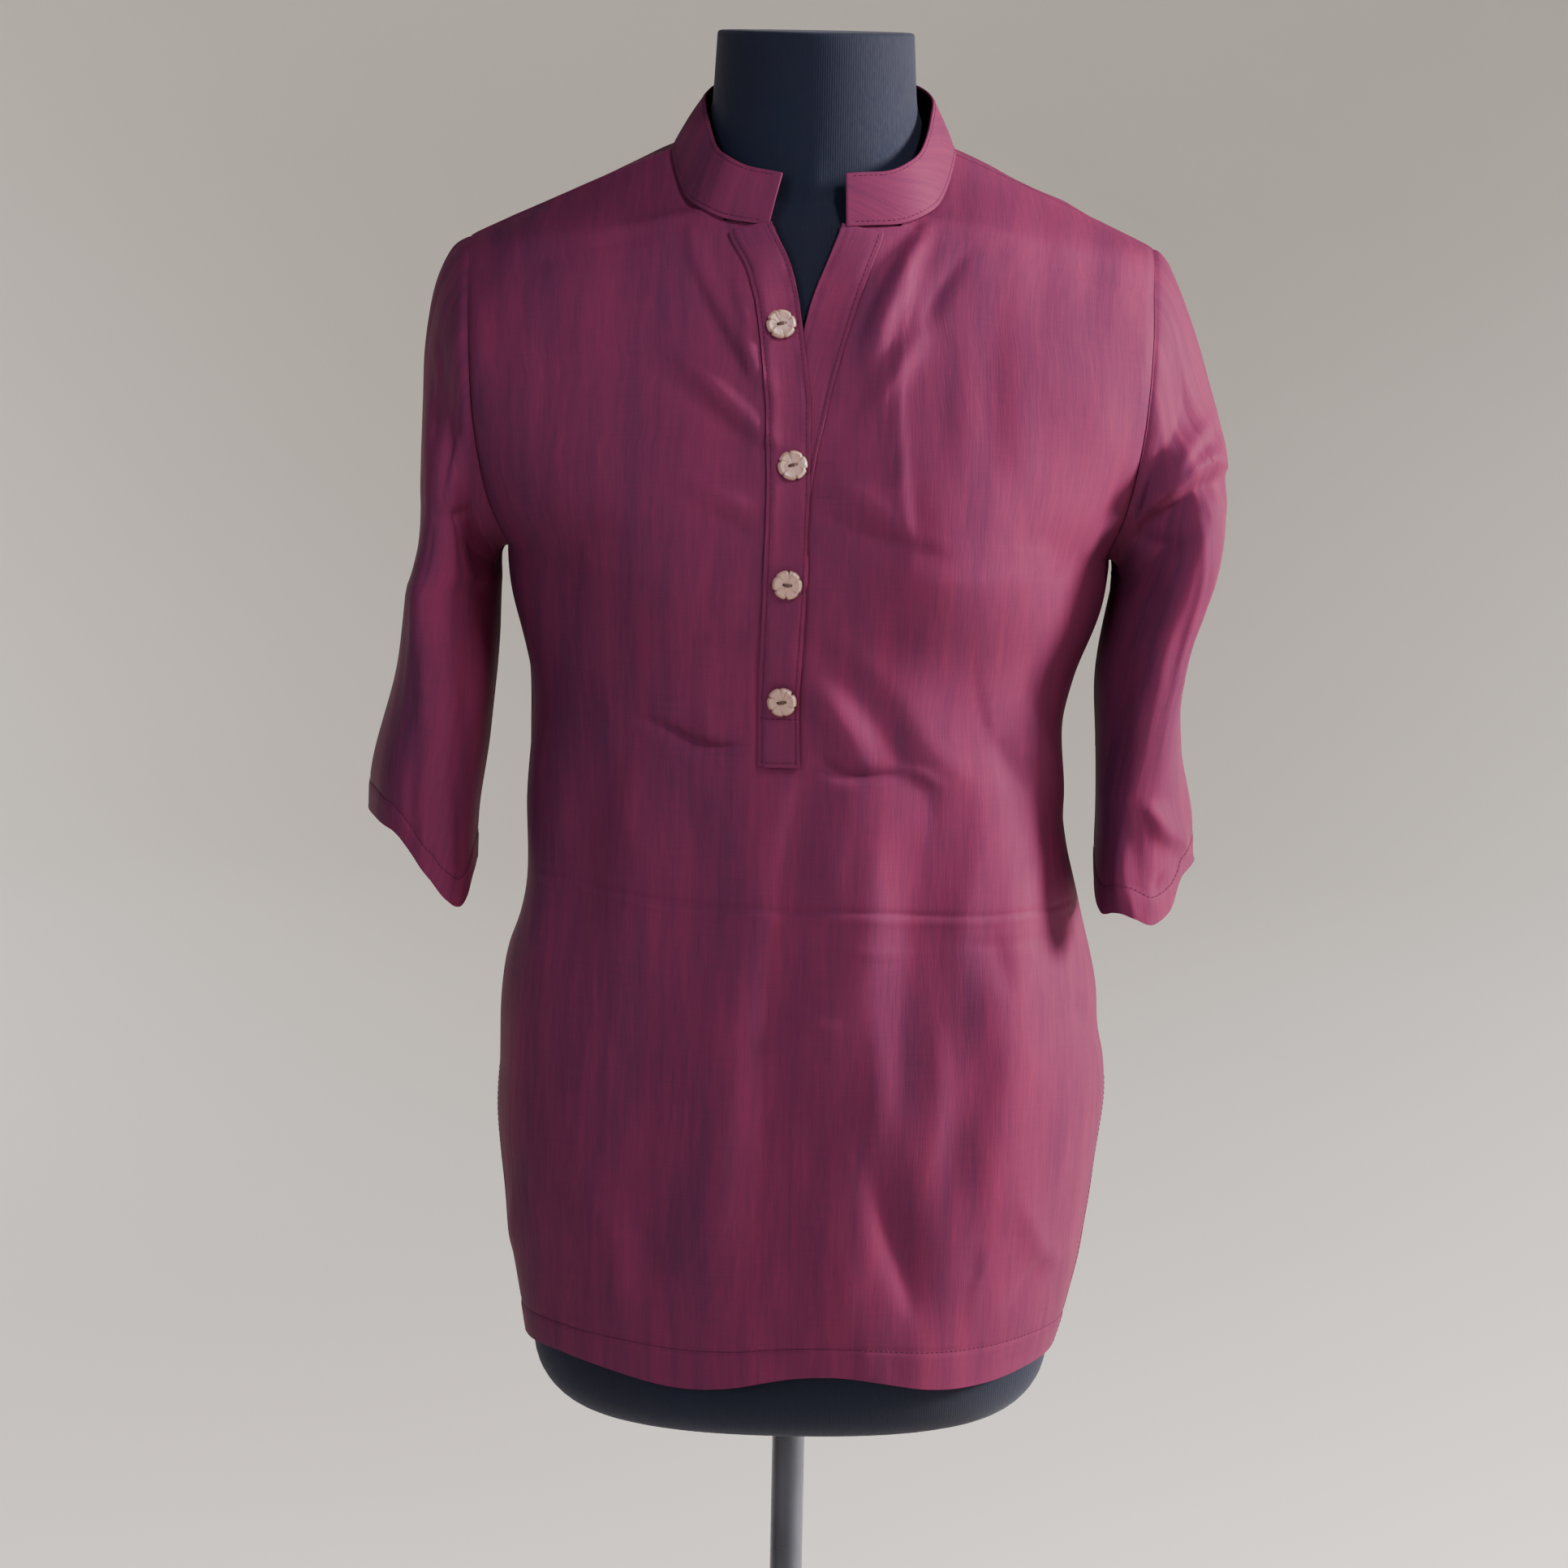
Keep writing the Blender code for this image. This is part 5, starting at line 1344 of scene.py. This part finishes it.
def make_button(number, x, z):
    """One carved button with its two holes; gives its centre and its axes."""
    centre, across, rising, out = seat_of(x, z)
    tilt = math.radians(BUTTON_TILTS[number - 1])
    across, rising = across * math.cos(tilt) + rising * math.sin(tilt), \
        rising * math.cos(tilt) - across * math.sin(tilt)
    angle = 2 * np.pi * np.arange(96) / 96
    depth = NOTCH_DEPTH * (1 + 0.35 * np.sin(2 * angle + 1.7 * number))
    edge = BUTTON_RADIUS - depth * np.maximum(0.0, -np.cos(NOTCHES * angle)) ** 7
    rings = [(0.90, 0 * angle), (1.0, 0.30 + 0 * angle), (1.0, 0.55 + 0 * angle)]
    for share in (0.975, 0.93, 0.87, 0.80, 0.72, 0.62, 0.50, 0.36, 0.20):
        rings.append((share, np.maximum(button_height(share, angle, number), 0.40)))
    points, marks = [], []
    for share, height in rings:
        marks.append(carving(share, angle, number) * (height > 0.35))
        flat = across * (edge * share * np.cos(angle))[:, None]
        flat = flat + rising * (edge * share * np.sin(angle))[:, None]
        points.append(centre + flat + out * (BUTTON_THICK * height)[:, None])
    count = len(angle)
    faces = grid_faces(len(rings), count, 0, False, True)
    faces.append(list(range(count))[::-1])
    last = (len(rings) - 1) * count
    middle = centre + out * BUTTON_THICK * 0.80
    points = np.vstack([np.vstack(points), middle[None]])
    faces += [[last + i, last + (i + 1) % count, len(points) - 1] for i in range(count)]
    made = new_piece(f"button_{number}_wood", points, faces, pale_wood)
    attribute = made.data.attributes.new("carved", "FLOAT", "POINT")
    attribute.data.foreach_set("value", np.append(np.hstack(marks), 0.0))
    for place in (-0.5, 0.5):
        work = bmesh.new()
        bmesh.ops.create_cone(work, cap_ends=True, segments=16, radius1=HOLE_RADIUS,
                              radius2=HOLE_RADIUS, depth=4 * BUTTON_THICK)
        turn = Vector(out).to_track_quat("Z", "Y").to_matrix().to_4x4()
        spot = Vector(centre + across * (HOLE_SPACING * place))
        bmesh.ops.transform(work, matrix=Matrix.Translation(spot) @ turn, verts=work.verts)
        drill = bpy.data.objects.new("drill", bpy.data.meshes.new("drill"))
        work.to_mesh(drill.data)
        work.free()
        scene.collection.objects.link(drill)
        cut = made.modifiers.new("hole", "BOOLEAN")
        cut.operation = "DIFFERENCE"
        cut.object = drill
        plain(made)
        bpy.data.objects.remove(drill, do_unlink=True)
    made.data.shade_smooth()
    made.data.set_sharp_from_angle(angle=math.radians(38))
    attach(made, "root")
    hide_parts(f"button_{number}")
    return centre, across, rising, out


def tube(line, radius, sides=7):
    """Points and faces of a closed tube round a line."""
    line = np.asarray(line)
    ahead = unit(np.gradient(line, axis=0))
    helper = np.array((0.31, 0.17, 0.93))
    first = unit(np.cross(ahead, helper))
    second = np.cross(ahead, first)
    angle = 2 * np.pi * np.arange(sides) / sides
    rings = line[:, None] + radius * (first[:, None] * np.cos(angle)[None, :, None]
                                      + second[:, None] * np.sin(angle)[None, :, None])
    faces = grid_faces(len(line), sides, 0, False, True)
    faces.append(list(range(sides))[::-1])
    faces.append([(len(line) - 1) * sides + i for i in range(sides)])
    return rings.reshape(-1, 3), faces


def join_parts(parts):
    """Several sets of points and faces as one."""
    points, faces = [], []
    for part_points, part_faces in parts:
        first = sum(len(p) for p in points)
        faces += [[first + i for i in face] for face in part_faces]
        points.append(part_points)
    return np.vstack(points), faces


for number, (x, z) in enumerate(BUTTONS, 1):
    centre, across, rising, out = make_button(number, x, z)
    strands = []
    for offset in (-0.00060, 0.0, 0.00060):
        t = np.linspace(-1, 1, 9)
        arch = 0.80 * BUTTON_THICK + 0.00042 - 0.0011 * np.abs(t) ** 5
        line = centre + across * (t * HOLE_SPACING * 0.56)[:, None] + \
            rising * (offset * (1 - 0.4 * t ** 2))[:, None] + out * arch[:, None]
        strands.append(tube(line, 0.00040))
    points, faces = join_parts(strands)
    sewn = new_piece(f"button_{number}_thread", points, faces, brown)
    sewn.data.shade_smooth()
    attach(sewn, "root")
print("buttons:", len(BUTTONS))

# %% [markdown]
# ## Stitches
# Rows of small stitches hold the hems, the collar and the placket. Geometry Nodes place them:
# the rows are drawn as lines just above the cloth, each line is divided evenly, and a short
# thread is set on every point, turned along the line.

# %% Stitch rows
STITCH_SPACING = 0.0030
STITCH_LENGTH = 0.0021
STITCH_RADIUS = 0.00015
STITCH_CLEAR = 0.00012
STRIP_FORWARD = np.array((0, -1, 0)) * (PLACKET + 0.0003)


def hem_row(face, side):
    """A row of stitches on a panel, along its hem."""
    u = np.linspace(0.0, 0.985, 120)
    low_rows = np.linspace(0, 3, 400)
    v = np.full(u.shape, np.interp(LEVELS[0].z + HEM_TURN, row_at(face, low_rows).in_z, low_rows))
    u = u * outer_edge(face, v)
    return cloth(face, side, u, v, CLOTH + STITCH_CLEAR)


def slit_row(face, side):
    """A row of stitches beside a side slit, from the hem up to its top."""
    v = np.linspace(0.06, SLIT_TOP + 0.1, 70)
    return cloth(face, side, outer_edge(face, v) - 0.045, v, CLOTH + STITCH_CLEAR)


def strip_row(table, share, stepped, low=0.004):
    """A row of stitches along a strip, at a share of its width."""
    z = np.linspace(table[0, 0] + low, table[-1, 0] - 0.002, 200)
    points = strip_points(table, z, np.full(z.shape, share), stepped)
    return points + STRIP_FORWARD


def cross_row(z):
    """A row of stitches across the upper strip."""
    share = np.linspace(0.09, 0.91, 20)
    points = strip_points(OVER_STRIP, np.full(share.shape, z), share, True)
    return points + STRIP_FORWARD


def collar_row(share):
    """A row of stitches along the collar."""
    place = share * (len(collar_grid) - 1)
    low = int(place)
    t = place - low
    line = collar_grid[low] * (1 - t) + collar_grid[min(low + 1, len(collar_grid) - 1)] * t
    out = -grid_normals(collar_grid, False)[low]
    return (line + out * (BAND + 0.0001))[4:-4]


def cuff_row(side):
    """A row of stitches round a cuff, where its turned edge ends."""
    grid = sleeve_cloth[side]
    from_cuff = lengths(grid[::-1], 0)[::-1]
    out = grid_normals(grid, True) * side
    line = []
    for j in list(range(grid.shape[1])) + [0]:
        place = np.interp(-CUFF_TURN, -from_cuff[:, j], np.arange(len(grid)))
        low = min(int(place), len(grid) - 2)
        t = place - low
        line.append(grid[low, j] * (1 - t) + grid[low + 1, j] * t + out[low, j] * (CLOTH + 0.0004))
    return np.array(line)


rows = []
for face in (FRONT, BACK):
    rows.append(np.concatenate((hem_row(face, LEFT)[::-1], hem_row(face, RIGHT)[1:])))
    for side in (LEFT, RIGHT):
        rows.append(slit_row(face, side))
rows += [strip_row(OVER_STRIP, 0.10, True), strip_row(OVER_STRIP, 0.91, True),
         strip_row(UNDER_STRIP, 0.90, False, 0.150)]
rows += [cross_row(1.1015), cross_row(1.1265)]
rows += [collar_row(0.09), collar_row(0.93)]
rows += [cuff_row(LEFT), cuff_row(RIGHT)]
BOX = ((0.0052, 1.2660), (0.0143, 1.2662), (0.0146, 1.2477), (0.0054, 1.2475), (0.0052, 1.2660))
box = np.array(BOX)
spots = np.vstack([a + (b - a) * np.linspace(0, 1, 8)[:, None] for a, b in zip(box, box[1:])])
rows.append(on_front(spots[:, 0], row_of_height(spots[:, 1]), CLOTH + PLACKET + STRIP_AIR + 0.0003))
stitch_length = sum(np.linalg.norm(np.diff(row, axis=0), axis=1).sum() for row in rows)
print("rows of stitches:", len(rows), "length", round(stitch_length, 2), "m")

# %% [markdown]
# The tree has three named sizes. A stitch is a thread of six sides, so thousands of them
# stay light.


# %% Stitch tree
def stitch_tree():
    """The tree that sets a short thread on every even step of a line."""
    tree = bpy.data.node_groups.new("stitches along lines", "GeometryNodeTree")
    tree.interface.new_socket("Geometry", in_out="INPUT", socket_type="NodeSocketGeometry")
    for label in ("Spacing", "Length", "Radius"):
        tree.interface.new_socket(label, in_out="INPUT", socket_type="NodeSocketFloat")
    tree.interface.new_socket("Geometry", in_out="OUTPUT", socket_type="NodeSocketGeometry")
    have = tree.nodes.new("NodeGroupInput").outputs
    give = tree.nodes.new("NodeGroupOutput").inputs
    curve = tree.nodes.new("GeometryNodeMeshToCurve")
    even = tree.nodes.new("GeometryNodeResampleCurve")
    even.mode = "LENGTH"
    thread_line = tree.nodes.new("GeometryNodeMeshCylinder")
    thread_line.inputs["Vertices"].default_value = 6
    place = tree.nodes.new("GeometryNodeInstanceOnPoints")
    aim = tree.nodes.new("FunctionNodeAlignRotationToVector")
    aim.axis = "Z"
    tangent = tree.nodes.new("GeometryNodeInputTangent")
    real = tree.nodes.new("GeometryNodeRealizeInstances")
    finish = tree.nodes.new("GeometryNodeSetMaterial")
    finish.inputs["Material"].default_value = thread
    link = tree.links.new
    link(have["Geometry"], curve.inputs["Mesh"])
    link(curve.outputs["Curve"], even.inputs["Curve"])
    link(have["Spacing"], even.inputs["Length"])
    link(have["Radius"], thread_line.inputs["Radius"])
    link(have["Length"], thread_line.inputs["Depth"])
    link(tangent.outputs["Tangent"], aim.inputs["Vector"])
    link(even.outputs["Curve"], place.inputs["Points"])
    link(thread_line.outputs["Mesh"], place.inputs["Instance"])
    link(aim.outputs["Rotation"], place.inputs["Rotation"])
    link(place.outputs["Instances"], real.inputs["Geometry"])
    link(real.outputs["Geometry"], finish.inputs["Geometry"])
    link(finish.outputs["Geometry"], give["Geometry"])
    return tree


points, edges = [], []
for row in rows:
    first = sum(len(p) for p in points)
    edges += [(first + i, first + i + 1) for i in range(len(row) - 1)]
    points.append(row)
mesh = bpy.data.meshes.new("stitches")
mesh.from_pydata(np.vstack(points).tolist(), edges, [])
stitches = bpy.data.objects.new("stitches", mesh)
scene.collection.objects.link(stitches)
sewing = stitches.modifiers.new("sewing", "NODES")
sewing.node_group = stitch_tree()
for item in sewing.node_group.interface.items_tree:
    if item.in_out == "INPUT" and item.name in ("Spacing", "Length", "Radius"):
        sewing[item.identifier] = {"Spacing": STITCH_SPACING, "Length": STITCH_LENGTH,
                                   "Radius": STITCH_RADIUS}[item.name]
plain(stitches)
stitches.data.shade_smooth()
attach(stitches, "root")
print("stitch faces:", len(stitches.data.polygons))

# %% [markdown]
# ## The form and its stand
# The limbless form is one smooth body with flat arm plates, a rounded lower edge and a neck
# with a flat top. Most of it is hidden, so it is kept plain, but its rows are fine enough to
# look round. The pole and the base are turned from a profile.

# %% Form
FORM_BOTTOM = 0.702
NECK_TOP = 1.498
NECK_RADIUS = 0.0588
NECK_TAPER = 0.0035
NECK_OVAL = 1.05
NECK_Y = -0.001
FORM_COLUMNS = 26
NECK_STEPS = 16


def form_grids():
    """Grids of the form's skin and its rounded lower edge, without the neck."""
    body, chest = np.linspace(0, UNDERARM, 60), np.linspace(UNDERARM, NECK_ROW, 30)
    rows = np.concatenate((body, chest[1:], np.linspace(NECK_ROW, TOP, NECK_STEPS + 1)[1:]))
    u = np.linspace(0, 1, FORM_COLUMNS + 1)
    radius = LEVELS[0].z - FORM_BOTTOM
    grids = []
    for face in (FRONT, BACK):
        for side in (LEFT, RIGHT):
            uu, vv = np.meshgrid(u, rows)
            grids.append((skin(face, side, uu, vv), face * side > 0))
            rim = skin(face, side, u, np.zeros(u.shape))
            flat = rim * np.array((1, 1, 0))
            inward = -unit(flat)
            bottom = [rim + inward * radius * (1 - math.cos(a)) - np.array((0, 0, radius * math.sin(a)))
                      for a in np.linspace(0, math.pi / 2, 14)]
            grids.append((np.array(bottom), face * side < 0))
    return grids


def neck_ring(share):
    """A ring round the neck: the form's neckline at 0 and the flat top at 1."""
    ring = []
    for face, side, upward in ((FRONT, RIGHT, True), (BACK, RIGHT, False),
                               (BACK, LEFT, True), (FRONT, LEFT, False)):
        order = np.arange(NECK_STEPS) if upward else np.arange(NECK_STEPS, 0, -1)
        base = skin(face, side, np.zeros(NECK_STEPS), NECK_ROW + (TOP - NECK_ROW) * order / NECK_STEPS)
        angle = np.arctan2(base[:, 1] + NECK_Y, base[:, 0])
        radius = NECK_RADIUS - NECK_TAPER * share
        top = np.stack((radius * np.cos(angle), NECK_Y + NECK_OVAL * radius * np.sin(angle), 0 * angle), -1)
        keep = (1 - min(1.0, share * 2.2)) ** 2
        point = top + (base - top) * keep
        point[:, 2] = base[:, 2] + (NECK_TOP - base[:, 2]) * share
        ring.append(point)
    return np.vstack(ring)


points, faces = [], []
for grid, flip in form_grids():
    faces += grid_faces(len(grid), grid.shape[1], sum(len(p) for p in points), flip)
    points.append(grid.reshape(-1, 3))
NECK_SHARES = (0, 0.06, 0.12, 0.2, 0.28, 0.38, 0.5, 0.62, 0.75, 0.88, 0.975, 0.993, 1.0)
neck = [neck_ring(share) for share in NECK_SHARES]
middle = np.array((0.0, NECK_Y, NECK_TOP))
for index, shrink in ((-2, 0.990), (-1, 0.965)):
    neck[index] = middle + (neck[index] - middle) * np.array((shrink, shrink, 1))
faces += grid_faces(len(neck), len(neck[0]), sum(len(p) for p in points), False, True)
points.append(np.vstack(neck))
form = new_piece("form_jersey", np.vstack(points), faces, jersey)
work = bmesh.new()
work.from_mesh(form.data)
bmesh.ops.remove_doubles(work, verts=work.verts, dist=SAME_PLACE)
bmesh.ops.holes_fill(work, edges=[edge for edge in work.edges if edge.is_boundary], sides=0)
bmesh.ops.triangulate(work, faces=[f for f in work.faces if len(f.verts) > 4])
bmesh.ops.recalc_face_normals(work, faces=work.faces)
work.to_mesh(form.data)
work.free()
form.data.shade_smooth()
form.data.set_sharp_from_angle(angle=math.radians(50))
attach(form, "root")
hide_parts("form")
print("form faces:", len(form.data.polygons))

# %% Pole and base
BASE_RADIUS, BASE_THICK, BASE_BEVEL_TOP, BASE_BEVEL_UNDER = 0.175, 0.010, 0.003, 0.001
POLE_RADIUS = 0.0095
POLE_BEVEL = 0.0006


def rings_of(profile, steps):
    """Points on rings round the upright axis, from (radius, height) pairs."""
    angle = 2 * np.pi * np.arange(steps) / steps
    rings = [(r * np.cos(angle), r * np.sin(angle), z + 0 * angle) for r, z in profile]
    return np.vstack([np.stack(ring, -1) for ring in rings])


def turned(name, profile, steps):
    """A piece turned on a lathe from its profile, (radius, height) from the top down."""
    points = rings_of(profile, steps)
    faces = grid_faces(len(profile), steps, 0, True, True)
    faces.append(list(range(steps)))
    faces.append([len(points) - steps + i for i in range(steps)][::-1])
    made = new_piece(name, points, faces, steel)
    made.data.shade_smooth()
    made.data.set_sharp_from_angle(angle=math.radians(35))
    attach(made, "root")
    return made


bevel = [(BASE_RADIUS - BASE_BEVEL_TOP * (1 - math.sin(a)), BASE_THICK - BASE_BEVEL_TOP * (1 - math.cos(a)))
         for a in np.linspace(0, math.pi / 2, 7)]
base = turned("base_plate", [(BASE_RADIUS * 0.5, BASE_THICK)] + bevel +
              [(BASE_RADIUS, BASE_BEVEL_UNDER), (BASE_RADIUS - BASE_BEVEL_UNDER, 0.0)], 144)
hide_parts("base")
pole_low, pole_high = BASE_THICK + GAP, FORM_BOTTOM - GAP
pole = turned("pole_tube", [(POLE_RADIUS - POLE_BEVEL, pole_high),
                            (POLE_RADIUS, pole_high - POLE_BEVEL),
                            (POLE_RADIUS, pole_low + POLE_BEVEL),
                            (POLE_RADIUS - POLE_BEVEL, pole_low)], 64)
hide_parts("pole")
print("pole length", round(pole_high - pole_low, 4), "m")

# %% [markdown]
# ## The sheets
# Every sheet of cloth prints its number of triangles and its area as it is made.

# %% [markdown]
# ## Floor and light
# The floor is pale and curves up all round, so it has no edge. A large soft lamp stands on the
# right and gives the cloth its bright and dark sides. A weak cool one fills the shade, a small
# one lights the shoulders and the collar, and four more light the floor and the wall.

# %% Floor
floor_material, tree, shader = new_material("floor")
place = object_place(tree)
patch = cloudy(tree, place, (1.4, 1.4, 1.4), 3.0)
pale = mixed(tree, patch, (0.78, 0.74, 0.69, 1), (0.84, 0.80, 0.75, 1))
tree.links.new(pale, shader.inputs["Base Color"])
settle(shader, Roughness=0.9)
FLOOR_RADIUS, FLOOR_CURVE, WALL_TOP = 9.0, 3.0, 4.5
FLOOR_BELOW = 0.0005
FLOOR_STEPS = 96
profile = [(0.8, 0.0), (3.0, 0.0)]
for a in np.linspace(0, math.pi / 2, 12):
    profile.append((FLOOR_RADIUS - FLOOR_CURVE * (1 - math.sin(a)), FLOOR_CURVE * (1 - math.cos(a))))
profile.append((FLOOR_RADIUS, WALL_TOP))
points = rings_of(profile, FLOOR_STEPS)
points[:, 2] -= FLOOR_BELOW
faces = grid_faces(len(profile), FLOOR_STEPS, 0, False, True)
faces.append(list(range(FLOOR_STEPS))[::-1])
floor = new_piece("floor", points, faces, floor_material)
floor.data.shade_smooth()
print("floor radius", FLOOR_RADIUS, "m")


# %% Lamps
def lamp(name, place, aim, size, power, colour):
    """A round lamp at a place, aimed at a point."""
    data = bpy.data.lights.new(name, "AREA")
    data.shape = "DISK"
    data.size = size
    data.energy = power
    data.color = colour
    made = bpy.data.objects.new(name, data)
    made.location = place
    made.rotation_euler = (Vector(aim) - Vector(place)).to_track_quat("-Z", "Y").to_euler()
    scene.collection.objects.link(made)
    return made


lamp("key", (3.45, 0.12, 2.2), (0, 0, 1.1), 0.9, 650, (1.0, 0.93, 0.90))
lamp("fill", (-1.7, -3.0, 2.3), (0, 0, 1.2), 1.6, 9.0, (0.80, 0.82, 1.0)).data.spread = math.radians(60)
lamp("top", (1.3, -1.7, 3.3), (0.02, 0, 1.44), 0.6, 2.2, (1.0, 0.90, 0.94)).data.spread = math.radians(25)
for turn, power in ((45, 200), (135, 200), (225, 40), (315, 40)):
    way = Vector((math.cos(math.radians(turn)), math.sin(math.radians(turn)), 0))
    place = way * 5.2 + Vector((0, 0, 4.2))
    over = lamp(f"floor_{turn}", place, way * 6.4, 2.5, power, (1.0, 0.98, 0.95))
    over.data.spread = math.radians(110)
world = bpy.data.worlds.new("studio")
world.use_nodes = True
world.node_tree.nodes["Background"].inputs[0].default_value = (0.93, 0.95, 1.0, 1)
world.node_tree.nodes["Background"].inputs[1].default_value = 0.055
scene.world = world
print("lamps:", len(bpy.data.lights))
